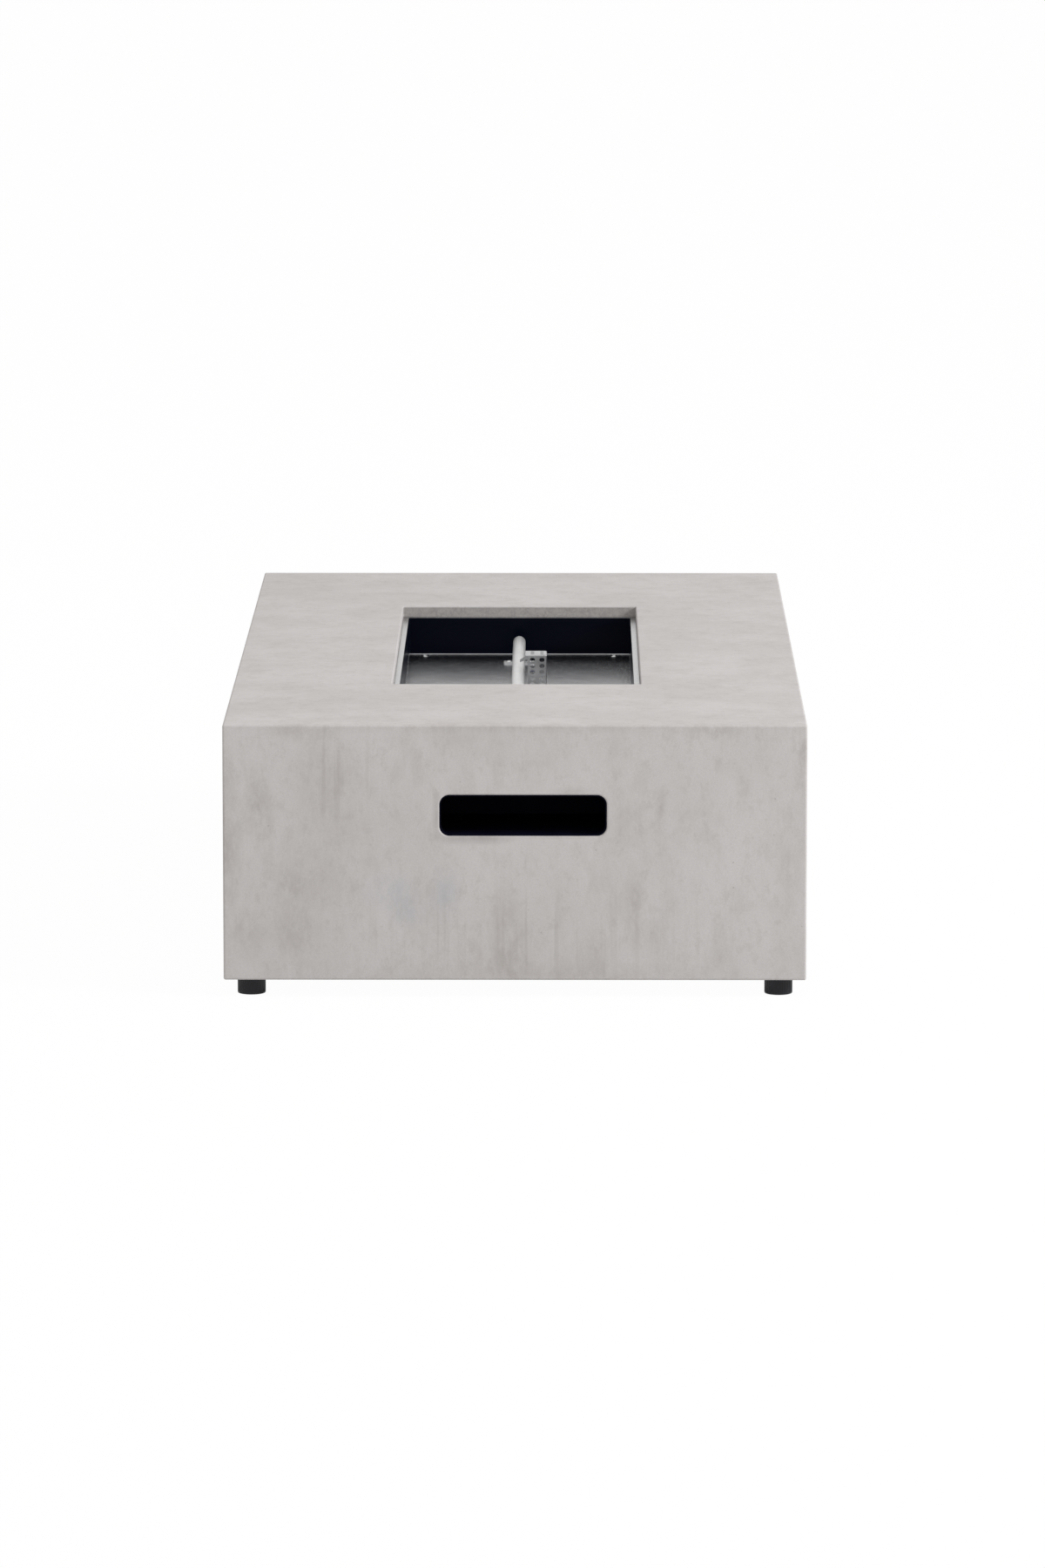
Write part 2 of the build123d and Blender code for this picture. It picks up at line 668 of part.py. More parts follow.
with BuildPart() as saddle_screws:
    with BuildSketch(Plane.XY.offset(floor_z + saddle_sheet)):
        with GridLocations(2 * saddle_screw_x, 2 * saddle_y, 2, 2):
            Circle(m4_diameter / 2)
    extrude(amount=-(saddle_sheet + pan_sheet + screw_end))
    with BuildSketch(Plane.XY.offset(floor_z + saddle_sheet)):
        with GridLocations(2 * saddle_screw_x, 2 * saddle_y, 2, 2):
            Circle(m4_head / 2)
    extrude(amount=m4_head_height)
    fillet(saddle_screws.edges().group_by(Axis.Z)[-1], head_dome * m4_head_height)
saddle_screws.part.label = "saddle_screws"
export_step(saddle_screws.part, "parts/saddle_screws.step")

with BuildPart() as burner_feed:
    with BuildLine() as feed_path:
        FilletPolyline((0, 0, tube_z), (0, 0, feed_z), (0, feed_end_y, feed_z), radius=feed_bend_radius)
    with BuildSketch(Plane.XY.offset(tube_z)):
        Circle(feed_diameter / 2)
        Circle(feed_diameter / 2 - feed_wall, mode=Mode.SUBTRACT)
    sweep(path=feed_path.wires()[0])
    # Collar that seats on the pan floor; the upper end is cut to fit the underside of the burner tube
    with BuildSketch(Plane.XY.offset(floor_z)):
        Circle(collar_diameter / 2)
        Circle(feed_diameter / 2 - feed_wall, mode=Mode.SUBTRACT)
    extrude(amount=collar_thickness)
    with BuildSketch(face_plane(0, tube_diameter, tube_z)):
        Circle(tube_radius)
    extrude(amount=2 * tube_diameter, mode=Mode.SUBTRACT)
burner_feed.part.label = "burner_feed"
export_step(burner_feed.part, "parts/burner_feed.step")

with BuildPart() as feed_locknut:
    with BuildSketch(Plane.XY.offset(pan_under_z)):
        hexagon(nut_flats)
        Circle(feed_diameter / 2 + screw_gap / 2, mode=Mode.SUBTRACT)
    extrude(amount=-nut_height)
feed_locknut.part.label = "feed_locknut"
export_step(feed_locknut.part, "parts/feed_locknut.step")

with BuildPart() as air_mixer:
    with BuildSketch(face_plane(0, mixer_start_y, feed_z)):
        Circle(mixer_diameter / 2)
        Circle(feed_diameter / 2, mode=Mode.SUBTRACT)
    extrude(amount=mixer_length)
    with BuildSketch(face_plane(0, mixer_end_y, feed_z)):
        Circle(mixer_diameter / 2)
        Circle(nose_diameter / 2, mode=Mode.SUBTRACT)
    extrude(amount=-nose_length / 2)
    # Two air windows cut across the barrel
    window_y = (feed_end_y + mixer_end_y + nose_length / 2) / 2
    with BuildSketch(side_plane(0, window_y, feed_z)):
        SlotOverall(mixer_window_length, mixer_window_width)
    extrude(amount=mixer_diameter, both=True, mode=Mode.SUBTRACT)
air_mixer.part.label = "air_mixer"
export_step(air_mixer.part, "parts/air_mixer.step")

with BuildPart() as gas_orifice:
    with BuildSketch(face_plane(0, mixer_end_y, feed_z)):
        hexagon(orifice_flats)
    extrude(amount=orifice_hex)
    with BuildSketch(face_plane(0, mixer_end_y + nose_length / 2, feed_z)):
        Circle(nose_diameter / 2)
    extrude(amount=nose_length / 2 + orifice_hex + nose_length)
    with BuildSketch(face_plane(0, orifice_end_y, feed_z)):
        Circle(gas_bore / 2)
    extrude(amount=-(nose_length + orifice_hex), mode=Mode.SUBTRACT)
    with BuildSketch(face_plane(0, orifice_end_y, feed_z)):
        Circle(orifice_bore / 2)
    extrude(amount=-2 * mixer_length, mode=Mode.SUBTRACT)
gas_orifice.part.label = "gas_orifice"
export_step(gas_orifice.part, "parts/gas_orifice.step")

# ---------------------------------------------------------------- gas valve
with BuildPart() as gas_valve_body:
    with BuildSketch(face_plane(knob_x, valve_rear_y, control_z)):
        RectangleRounded(valve_width, valve_height, valve_round)
    extrude(amount=valve_depth)
    with BuildSketch(face_plane(outlet_x, valve_rear_y, outlet_z)):
        Circle(boss_diameter / 2)
    extrude(amount=-boss_length)
    with BuildSketch(face_plane(outlet_x, valve_rear_y + boss_length, outlet_z)):
        Circle(nose_diameter / 2)
    extrude(amount=-nose_length)
    with BuildSketch(face_plane(magnet_x, valve_rear_y, magnet_z)):
        Circle(magnet_diameter / 2)
    extrude(amount=-magnet_length)
    with BuildSketch(Plane.XY.offset(control_z - valve_height / 2)):
        with Locations((knob_x, inlet_y)):
            Circle(boss_diameter / 2)
    extrude(amount=-boss_length)
    # Tapered seat for the plug, then the gas passages into and out of it
    with BuildSketch(face_plane(knob_x, valve_y, control_z)):
        Circle(plug_front_radius + plug_gap)
    with BuildSketch(face_plane(knob_x, valve_y + plug_length + 2 * plug_end_gap, control_z)):
        Circle(plug_back_radius + plug_gap)
    loft(mode=Mode.SUBTRACT)
    with BuildSketch(Plane.XY.offset(inlet_hex_z)):
        with Locations((knob_x, inlet_y)):
            Circle(gas_bore / 2)
    extrude(amount=valve_height / 2 + boss_length, mode=Mode.SUBTRACT)
    with BuildSketch(face_plane(outlet_x, outlet_end_y, outlet_z)):
        Circle(gas_bore / 2)
    extrude(amount=nose_length + boss_length + valve_depth / 2, mode=Mode.SUBTRACT)
    to_axis = (-outlet_side, 0, outlet_drop)
    with BuildSketch(Plane(origin=(outlet_x, inlet_y, outlet_z), x_dir=(0, 1, 0), z_dir=to_axis)):
        Circle(gas_bore / 2)
    extrude(amount=hypot(outlet_side, outlet_drop) - plug_back_radius, mode=Mode.SUBTRACT)
    with BuildSketch(face_plane(knob_x, valve_y, control_z)):
        with GridLocations(1, bonnet_screw_spread, 1, 2):
            Circle(m3_diameter / 2 + screw_gap)
    extrude(amount=-(bonnet_screw_bite + hole_end), mode=Mode.SUBTRACT)
gas_valve_body.part.label = "gas_valve_body"
export_step(gas_valve_body.part, "parts/gas_valve_body.step")

with BuildPart() as valve_bonnet:
    with BuildSketch(face_plane(knob_x, valve_y, control_z)):
        Circle(bonnet_diameter / 2)
        SlotOverall(valve_screw_spread + 2 * m4_head, 1.5 * m4_head)
        Circle(spindle_diameter / 2 + spindle_gap, mode=Mode.SUBTRACT)
        with GridLocations(valve_screw_spread, 1, 2, 1):
            Circle(m4_diameter / 2 + screw_gap, mode=Mode.SUBTRACT)
        with GridLocations(1, bonnet_screw_spread, 1, 2):
            Circle(m3_diameter / 2 + screw_gap, mode=Mode.SUBTRACT)
    extrude(amount=bonnet_thickness)
    with BuildSketch(face_plane(knob_x, bay_rear_y, control_z)):
        with GridLocations(1, bonnet_screw_spread, 1, 2):
            Circle(m3_head / 2 + screw_gap)
    extrude(amount=-(m3_head_height + screw_gap), mode=Mode.SUBTRACT)
valve_bonnet.part.label = "valve_bonnet"
export_step(valve_bonnet.part, "parts/valve_bonnet.step")

with BuildPart() as bonnet_screws:
    bonnet_seat_y = bay_rear_y + m3_head_height + screw_gap
    with BuildSketch(face_plane(knob_x, bonnet_seat_y, control_z)):
        with GridLocations(1, bonnet_screw_spread, 1, 2):
            Circle(m3_head / 2)
    extrude(amount=m3_head_height)
    with BuildSketch(face_plane(knob_x, bonnet_seat_y, control_z)):
        with GridLocations(1, bonnet_screw_spread, 1, 2):
            Circle(m3_diameter / 2)
    extrude(amount=-(bonnet_thickness - m3_head_height + bonnet_screw_bite))
bonnet_screws.part.label = "bonnet_screws"
export_step(bonnet_screws.part, "parts/bonnet_screws.step")

with BuildPart() as valve_plug:
    with BuildSketch(face_plane(knob_x, plug_y, control_z)):
        Circle(plug_front_radius)
    with BuildSketch(face_plane(knob_x, plug_y + plug_length, control_z)):
        Circle(plug_back_radius)
    loft()
    # Socket with a flat for the spindle, deep enough for the push
    with BuildSketch(face_plane(knob_x, plug_y, control_z)):
        flatted_circle(spindle_diameter / 2 + spindle_gap, spindle_flat + spindle_gap)
    extrude(amount=-(spindle_engagement + knob_travel + hole_end), mode=Mode.SUBTRACT)
    # Two ports that meet the inlet and the outlet when the knob is turned on
    for angle in (180, 180 - outlet_angle):
        port_direction = (cos(radians(angle)), 0, sin(radians(angle)))
        with BuildSketch(Plane(origin=(knob_x, inlet_y, control_z), x_dir=(0, 1, 0), z_dir=port_direction)):
            Circle(gas_bore / 2)
        extrude(amount=plug_front_radius, mode=Mode.SUBTRACT)
valve_plug.part.label = "valve_plug"
export_step(valve_plug.part, "parts/valve_plug.step")

knob_back_y = dial_y - knob_gap
with BuildPart() as valve_spindle:
    with BuildSketch(face_plane(knob_x, plug_y + spindle_engagement, control_z)):
        Circle(spindle_diameter / 2)
    extrude(amount=plug_y + spindle_engagement - knob_back_y + knob_socket)
    # Flats where the plug and the knob grip it; the inner one is longer by the knob's push
    flat_z = control_z + spindle_flat + spindle_diameter / 2
    inner_flat = spindle_engagement + knob_travel + hole_end
    for start_y, grip in ((plug_y + spindle_engagement, inner_flat), (knob_back_y, knob_socket)):
        with BuildSketch(face_plane(knob_x, start_y, flat_z)):
            Rectangle(2 * spindle_diameter, spindle_diameter)
        extrude(amount=grip, mode=Mode.SUBTRACT)
valve_spindle.part.label = "valve_spindle"
export_step(valve_spindle.part, "parts/valve_spindle.step")

with BuildPart() as control_knob:
    with BuildSketch(face_plane(knob_x, knob_back_y, control_z)):
        Circle(knob_diameter / 2)
    extrude(amount=knob_skirt)
    chamfer(control_knob.edges().group_by(Axis.Y)[0], knob_chamfer)
    with BuildSketch(face_plane(knob_x, knob_back_y - knob_skirt, control_z)):
        Circle(knob_body_diameter / 2)
        with PolarLocations(knob_body_diameter / 2 + flute_radius - flute_depth, knob_flutes):
            Circle(flute_radius, mode=Mode.SUBTRACT)
    extrude(amount=knob_depth - knob_skirt)
    # Raised bar to grip, and the pointer groove along it
    with BuildSketch(face_plane(knob_x, knob_back_y - knob_depth, control_z)):
        SlotOverall(knob_body_diameter - 2 * grip_inset, knob_grip, rotation=90)
    extrude(amount=knob_grip / 2)
    with BuildSketch(face_plane(knob_x, knob_back_y - knob_depth - knob_grip / 2, control_z)):
        with Locations((0, knob_body_diameter / 4)):
            Rectangle(pointer_width, knob_body_diameter / 2 - 2 * grip_inset)
    extrude(amount=-pointer_depth, mode=Mode.SUBTRACT)
    with BuildSketch(face_plane(knob_x, knob_back_y, control_z)):
        flatted_circle(spindle_diameter / 2, spindle_flat)
    extrude(amount=knob_socket, mode=Mode.SUBTRACT)
control_knob.part.label = "control_knob"
export_step(control_knob.part, "parts/control_knob.step")

with BuildPart() as dial_plate:
    with BuildSketch(face_plane(knob_x, bay_back_y, control_z)):
        Circle(dial_diameter / 2)
        Circle(spindle_diameter / 2 + spindle_pass_gap, mode=Mode.SUBTRACT)
        with GridLocations(valve_screw_spread, 1, 2, 1):
            Circle(m4_diameter / 2 + screw_gap, mode=Mode.SUBTRACT)
    extrude(amount=dial_thickness)
dial_plate.part.label = "dial_plate"
export_step(dial_plate.part, "parts/dial_plate.step")

with BuildPart() as valve_screws:
    with BuildSketch(face_plane(knob_x, dial_y, control_z)):
        with GridLocations(valve_screw_spread, 1, 2, 1):
            Circle(m4_diameter / 2)
    extrude(amount=-(valve_y - dial_y + screw_end))
    with BuildSketch(face_plane(knob_x, dial_y, control_z)):
        with GridLocations(valve_screw_spread, 1, 2, 1):
            Circle(m4_head / 2)
    extrude(amount=m4_head_height)
    fillet(valve_screws.edges().group_by(Axis.Y)[0], head_dome * m4_head_height)
valve_screws.part.label = "valve_screws"
export_step(valve_screws.part, "parts/valve_screws.step")

with BuildPart() as inlet_fitting:
    with BuildSketch(Plane.XY.offset(inlet_hex_z)):
        with Locations((knob_x, inlet_y)):
            hexagon(inlet_flats)
    extrude(amount=-inlet_hex)
    with BuildSketch(Plane.XY.offset(inlet_hex_z)):
        with Locations((knob_x, inlet_y)):
            Circle(inlet_diameter / 2)
    extrude(amount=-(inlet_hex + inlet_length))
    chamfer(inlet_fitting.edges().group_by(Axis.Z)[0], inlet_chamfer)
    with BuildSketch(Plane.XY.offset(inlet_hex_z)):
        with Locations((knob_x, inlet_y)):
            Circle(gas_bore / 2)
    extrude(amount=-(inlet_hex + inlet_length), mode=Mode.SUBTRACT)
inlet_fitting.part.label = "inlet_fitting"
export_step(inlet_fitting.part, "parts/inlet_fitting.step")

# ---------------------------------------------------------------- gas connector
with BuildPart() as flex_connector:
    with BuildLine() as flex_path:
        rounded_path(
            [
                (outlet_x, outlet_end_y, outlet_z),
                (outlet_x, outlet_end_y + flex_runs[0], outlet_z),
                (outlet_x - flex_side, outlet_end_y + flex_runs[1], feed_z + flex_rise),
                (0, orifice_end_y - flex_runs[2], feed_z),
                (0, orifice_end_y, feed_z),
            ]
        )
    with BuildSketch(face_plane(outlet_x, outlet_end_y, outlet_z)):
        Circle(flex_diameter / 2)
        Circle(flex_diameter / 2 - flex_wall, mode=Mode.SUBTRACT)
    sweep(path=flex_path.wires()[0])
flex_connector.part.label = "flex_connector"
export_step(flex_connector.part, "parts/flex_connector.step")

with BuildPart() as flare_nuts:
    nut_places = ((outlet_x, outlet_end_y, outlet_z, 1), (0, orifice_end_y, feed_z, -1))
    for nut_x, nose_y, nut_z, side in nut_places:
        start_y = nose_y - side * (flare_nut_length / 2)
        with BuildSketch(face_plane(nut_x, start_y, nut_z)):
            hexagon(flare_nut_flats)
            Circle(nose_diameter / 2 + screw_gap, mode=Mode.SUBTRACT)
        extrude(amount=-side * flare_nut_length)
flare_nuts.part.label = "flare_nuts"
export_step(flare_nuts.part, "parts/flare_nuts.step")

# ---------------------------------------------------------------- push-button igniter
with BuildPart() as igniter_housing:
    with BuildSketch(face_plane(igniter_x, bay_back_y, control_z)):
        Circle(igniter_flange / 2)
    extrude(amount=igniter_flange_thickness)
    with BuildSketch(face_plane(igniter_x, bay_back_y, control_z)):
        Circle(igniter_barrel / 2)
    extrude(amount=-igniter_length)
    with BuildSketch(face_plane(igniter_x, battery_start_y - battery_gap, control_z)):
        Circle(button_bore + button_collar)
    extrude(amount=battery_start_y - battery_gap - bay_back_y + igniter_flange_thickness, mode=Mode.SUBTRACT)
    with BuildSketch(face_plane(igniter_x, igniter_end_y - igniter_wall, control_z)):
        Circle(battery_diameter / 2 + battery_gap)
    extrude(amount=igniter_length - igniter_wall, mode=Mode.SUBTRACT)
    with BuildSketch(face_plane(igniter_x, igniter_end_y, control_z)):
        with GridLocations(2 * terminal_width, 1, 2, 1):
            Rectangle(terminal_width, terminal_thickness)
    extrude(amount=-terminal_length)
igniter_housing.part.label = "igniter_housing"
export_step(igniter_housing.part, "parts/igniter_housing.step")

with BuildPart() as igniter_cap:
    cap_back_y = bay_back_y - igniter_flange_thickness
    with BuildSketch(face_plane(igniter_x, cap_back_y, control_z)):
        Circle(igniter_flange / 2)
    extrude(amount=igniter_cap_depth)
    fillet(igniter_cap.edges().group_by(Axis.Y)[0], button_edge)
    with BuildSketch(face_plane(igniter_x, cap_back_y, control_z)):
        Circle(button_bore)
    extrude(amount=igniter_cap_depth, mode=Mode.SUBTRACT)
    with BuildSketch(face_plane(igniter_x, cap_back_y, control_z)):
        Circle(button_bore + button_collar)
    extrude(amount=igniter_cap_depth - igniter_wall, mode=Mode.SUBTRACT)
igniter_cap.part.label = "igniter_cap"
export_step(igniter_cap.part, "parts/igniter_cap.step")

with BuildPart() as igniter_button:
    collar_y = cap_back_y - igniter_cap_depth + igniter_wall + button_gap
    with BuildSketch(face_plane(igniter_x, collar_y + button_collar_thickness, control_z)):
        Circle(button_diameter / 2 + button_collar)
    extrude(amount=button_collar_thickness)
    with BuildSketch(face_plane(igniter_x, collar_y + button_collar_thickness, control_z)):
        Circle(button_diameter / 2)
    extrude(amount=button_collar_thickness + button_gap + igniter_wall + button_proud)
    fillet(igniter_button.edges().group_by(Axis.Y)[0], button_edge)
igniter_button.part.label = "igniter_button"
export_step(igniter_button.part, "parts/igniter_button.step")

with BuildPart() as igniter_lock_ring:
    with BuildSketch(face_plane(igniter_x, bay_rear_y, control_z)):
        hexagon(igniter_flange)
        Circle(igniter_barrel / 2 + screw_gap / 2, mode=Mode.SUBTRACT)
    extrude(amount=-igniter_nut_thickness)
igniter_lock_ring.part.label = "igniter_lock_ring"
export_step(igniter_lock_ring.part, "parts/igniter_lock_ring.step")

with BuildPart() as igniter_battery:
    with BuildSketch(face_plane(igniter_x, battery_start_y + battery_length, control_z)):
        Circle(battery_diameter / 2)
    extrude(amount=battery_length - battery_tip)
    fillet(igniter_battery.edges(), battery_edge)
    with BuildSketch(face_plane(igniter_x, battery_start_y + battery_tip, control_z)):
        Circle(battery_tip_diameter / 2)
    extrude(amount=battery_tip)
igniter_battery.part.label = "igniter_battery"
export_step(igniter_battery.part, "parts/igniter_battery.step")

# ---------------------------------------------------------------- spark electrode and flame sensor
with BuildPart() as sensor_guard:
    with BuildSketch(Plane.XY.offset(bracket_z)):
        with Locations((guard_x + guard_width / 2, guard_middle_y)):
            Rectangle(guard_width, guard_length)
    extrude(amount=guard_top_z - bracket_z)
    # Bends: top to front, top to right side, front to right side
    top_bends = sensor_guard.edges().group_by(Axis.Z)[-1]
    bends = [top_bends.sort_by(Axis.Y)[0], top_bends.sort_by(Axis.X)[-1]]
    upright_edges = sensor_guard.edges().filter_by(Axis.Z)
    bends.append(upright_edges.sort_by(lambda edge: edge.center().X - edge.center().Y)[-1])
    fillet(bends, guard_bend)
    open_sides = [
        sensor_guard.faces().sort_by(Axis.X)[0],
        sensor_guard.faces().sort_by(Axis.Y)[-1],
        sensor_guard.faces().sort_by(Axis.Z)[0],
    ]
    offset(amount=-guard_sheet, openings=open_sides)
    # The front plate stands off the tube, with a beak above it
    with BuildSketch(face_plane(guard_x, guard_start + guard_sheet, bracket_z)):
        with Locations((guard_slit / 2, (guard_height - beak_root - bracket_sheet) / 2)):
            Rectangle(guard_slit, guard_height - beak_root - bracket_sheet)
    extrude(amount=guard_sheet, mode=Mode.SUBTRACT)
    with BuildSketch(face_plane(guard_x, guard_start + guard_sheet, guard_top_z)):
        with BuildLine():
            Polyline(
                (guard_slit, -guard_bend),
                (0, -guard_bend),
                (-beak_reach, -beak_drop),
                (-beak_reach, -beak_drop - beak_end),
                (0, -beak_root),
                (guard_slit, -beak_root),
                close=True,
            )
        make_face()
    extrude(amount=guard_sheet)
    # Perforations in the front, the top and the right side
    with BuildSketch(face_plane(guard_face_x, guard_start + guard_sheet, guard_top_z - hole_top_drop)):
        with Locations((0, -(hole_rows - 1) * hole_pitch_z / 2)):
            with GridLocations(hole_pitch_x, hole_pitch_z, 2, hole_rows):
                SlotOverall(hole_width, hole_height)
    extrude(amount=guard_sheet, mode=Mode.SUBTRACT)
    with BuildSketch(Plane.XY.offset(guard_top_z)):
        with Locations((guard_face_x, guard_middle_y)):
            with GridLocations(hole_pitch_x, top_hole_pitch, 2, top_hole_rows):
                Circle(hole_height / 2)
    extrude(amount=-guard_sheet, mode=Mode.SUBTRACT)
    with BuildSketch(side_plane(guard_right, guard_middle_y, guard_top_z - hole_top_drop)):
        with Locations((0, -(hole_rows - 1) * hole_pitch_z / 2)):
            with GridLocations(hole_pitch_x, 2 * hole_pitch_z, 3, (hole_rows + 1) // 2):
                Circle(hole_height / 2)
    extrude(amount=-guard_sheet, mode=Mode.SUBTRACT)
    # Screw tabs turned out at the foot of the right side
    with BuildSketch(Plane.XY.offset(bracket_z)):
        with Locations((guard_screw_x, guard_middle_y)):
            with GridLocations(1, guard_length / 2, 1, 2):
                Rectangle(guard_tab + 2 * guard_sheet, guard_tab)
                Circle(m3_diameter / 2 + screw_gap, mode=Mode.SUBTRACT)
    extrude(amount=guard_sheet)
sensor_guard.part.label = "sensor_guard"
export_step(sensor_guard.part, "parts/sensor_guard.step")

with BuildPart() as sensor_bracket:
    bracket_left = guard_x + guard_sheet
    bracket_right = guard_right + guard_tab + 2 * guard_sheet
    with BuildSketch(Plane.XY.offset(floor_z)):
        with Locations(((bracket_left + bracket_right) / 2, guard_middle_y)):
            Rectangle(bracket_right - bracket_left, guard_length + 2 * guard_sheet)
        with Locations((sensor_x, electrode_y)):
            Circle(ceramic_diameter / 2 + screw_gap, mode=Mode.SUBTRACT)
        with Locations((sensor_x, thermocouple_y)):
            Circle(probe_diameter / 2 + screw_gap, mode=Mode.SUBTRACT)
        with Locations((guard_screw_x, guard_middle_y)):
            with GridLocations(1, guard_length / 2, 1, 2):
                Circle(m3_diameter / 2 + screw_gap, mode=Mode.SUBTRACT)
    extrude(amount=bracket_sheet)
sensor_bracket.part.label = "sensor_bracket"
export_step(sensor_bracket.part, "parts/sensor_bracket.step")

with BuildPart() as guard_screws:
    guard_seat = Plane.XY.offset(bracket_z + guard_sheet)
    for plan_diameter, amount in (
        (m3_diameter, -(guard_sheet + bracket_sheet + pan_sheet + screw_end)),
        (m3_head, m3_head_height),
    ):
        with BuildSketch(guard_seat):
            with Locations((guard_screw_x, guard_middle_y)):
                with GridLocations(1, guard_length / 2, 1, 2):
                    Circle(plan_diameter / 2)
        extrude(amount=amount)
    fillet(guard_screws.edges().group_by(Axis.Z)[-1], head_dome * m3_head_height)
guard_screws.part.label = "guard_screws"
export_step(guard_screws.part, "parts/guard_screws.step")

with BuildPart() as spark_electrode:
    with BuildSketch(Plane.XY.offset(ceramic_low_z)):
        with Locations((sensor_x, electrode_y)):
            Circle(ceramic_diameter / 2)
    extrude(amount=ceramic_high_z - ceramic_low_z)
    chamfer(spark_electrode.edges().group_by(Axis.Z)[-1], small_chamfer)
    with BuildSketch(Plane.XY.offset(bracket_z)):
        with Locations((sensor_x, electrode_y)):
            Circle(ceramic_diameter / 2 + sensor_collar)
    extrude(amount=bracket_sheet)
    with BuildSketch(Plane.XY.offset(ceramic_low_z)):
        with Locations((sensor_x, electrode_y)):
            Circle(rod_diameter / 2)
    extrude(amount=ceramic_high_z - ceramic_low_z, mode=Mode.SUBTRACT)
spark_electrode.part.label = "spark_electrode"
export_step(spark_electrode.part, "parts/spark_electrode.step")

with BuildPart() as electrode_rod:
    rod_low_z = ceramic_low_z - 2 * rod_diameter
    rod_high_z = tube_z + rod_rise
    with BuildLine() as rod_path:
        FilletPolyline(
            (sensor_x, electrode_y, rod_low_z),
            (sensor_x, electrode_y, rod_high_z),
            (tube_radius + spark_gap, electrode_y, rod_high_z),
            radius=2 * rod_diameter,
        )
    with BuildSketch(Plane.XY.offset(rod_low_z)):
        with Locations((sensor_x, electrode_y)):
            Circle(rod_diameter / 2)
    sweep(path=rod_path.wires()[0])
electrode_rod.part.label = "electrode_rod"
export_step(electrode_rod.part, "parts/electrode_rod.step")

with BuildPart() as thermocouple:
    for low_z, high_z, diameter in (
        (ceramic_low_z, tube_z, probe_diameter),
        (tube_z, tube_z + probe_tip, probe_tip_diameter),
        (bracket_z, bracket_z + bracket_sheet, probe_diameter + 2 * sensor_collar),
    ):
        with BuildSketch(Plane.XY.offset(low_z)):
            with Locations((sensor_x, thermocouple_y)):
                Circle(diameter / 2)
        extrude(amount=high_z - low_z)
    chamfer(thermocouple.edges().group_by(Axis.Z)[-1], small_chamfer)
thermocouple.part.label = "thermocouple"
export_step(thermocouple.part, "parts/thermocouple.step")

with BuildPart() as ignition_wire:
    spade_x = igniter_x + terminal_width
    spade_y = igniter_end_y + terminal_length
    with BuildLine() as wire_path:
        rounded_path(
            [
                (spade_x, spade_y, control_z),
                (spade_x, spade_y + wire_exit, control_z),
                (wire_left_x, shield_front_y + wire_bends[0], wire_low_z),
                (wire_left_x, shield_front_y + wire_bends[1], wire_low_z),
                (wire_left_x, shield_front_y + wire_bends[2], wire_z),
                (wire_left_x, crossing_y, wire_z),
                (sensor_x, crossing_y + crossing_length, wire_z),
                (sensor_x, electrode_y, wire_z),
                (sensor_x, electrode_y, rod_low_z),
            ]
        )
    with BuildSketch(face_plane(spade_x, spade_y, control_z)):
        Circle(wire_diameter / 2)
    sweep(path=wire_path.wires()[0])
ignition_wire.part.label = "ignition_wire"
export_step(ignition_wire.part, "parts/ignition_wire.step")

with BuildPart() as thermocouple_lead:
    with BuildLine() as lead_path:
        rounded_path(
            [
                (magnet_x, magnet_end_y, magnet_z),
                (magnet_x, magnet_end_y + lead_exit, magnet_z),
                (wire_right_x, shield_front_y + wire_bends[0], wire_low_z),
                (wire_right_x, shield_front_y + wire_bends[1], wire_low_z),
                (wire_right_x, shield_front_y + wire_bends[2], wire_z),
                (wire_right_x, thermocouple_y, wire_z),
                (sensor_x, thermocouple_y, wire_z),
                (sensor_x, thermocouple_y, ceramic_low_z),
            ]
        )
    with BuildSketch(face_plane(magnet_x, magnet_end_y, magnet_z)):
        Circle(wire_diameter / 2)
    sweep(path=lead_path.wires()[0])
thermocouple_lead.part.label = "thermocouple_lead"
export_step(thermocouple_lead.part, "parts/thermocouple_lead.step")

with BuildPart() as thermocouple_nut:
    with BuildSketch(face_plane(magnet_x, magnet_end_y, magnet_z)):
        hexagon(thermocouple_nut_flats)
        Circle(wire_diameter / 2 + screw_gap, mode=Mode.SUBTRACT)
    extrude(amount=-thermocouple_nut_length)
thermocouple_nut.part.label = "thermocouple_nut"
export_step(thermocouple_nut.part, "parts/thermocouple_nut.step")

with BuildPart() as wire_clips:
    clip_radius = wire_diameter / 2 + clip_gap
    for clip_x in (wire_left_x, wire_right_x):
        for clip_place in clip_places:
            with BuildSketch(face_plane(clip_x, shield_front_y + clip_place + clip_width / 2, wire_z)):
                Circle(clip_radius + clip_sheet)
                with Locations((clip_radius + clip_sheet / 2, wire_drop / 2)):
                    Rectangle(clip_sheet, wire_drop)
                with Locations((clip_radius + clip_width / 2, wire_drop - clip_sheet / 2)):
                    Rectangle(clip_width, clip_sheet)
                Circle(clip_radius, mode=Mode.SUBTRACT)
            extrude(amount=clip_width)
wire_clips.part.label = "wire_clips"
export_step(wire_clips.part, "parts/wire_clips.step")
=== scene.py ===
"""Looks of the gas fire pit table: cast concrete, blackened burner pan, burner, controls and feet.

Everything is in metres in the CAD frame: +X right, +Y away from the control end, +Z up, with the origin
on the ground under the middle of the table.
"""
import math

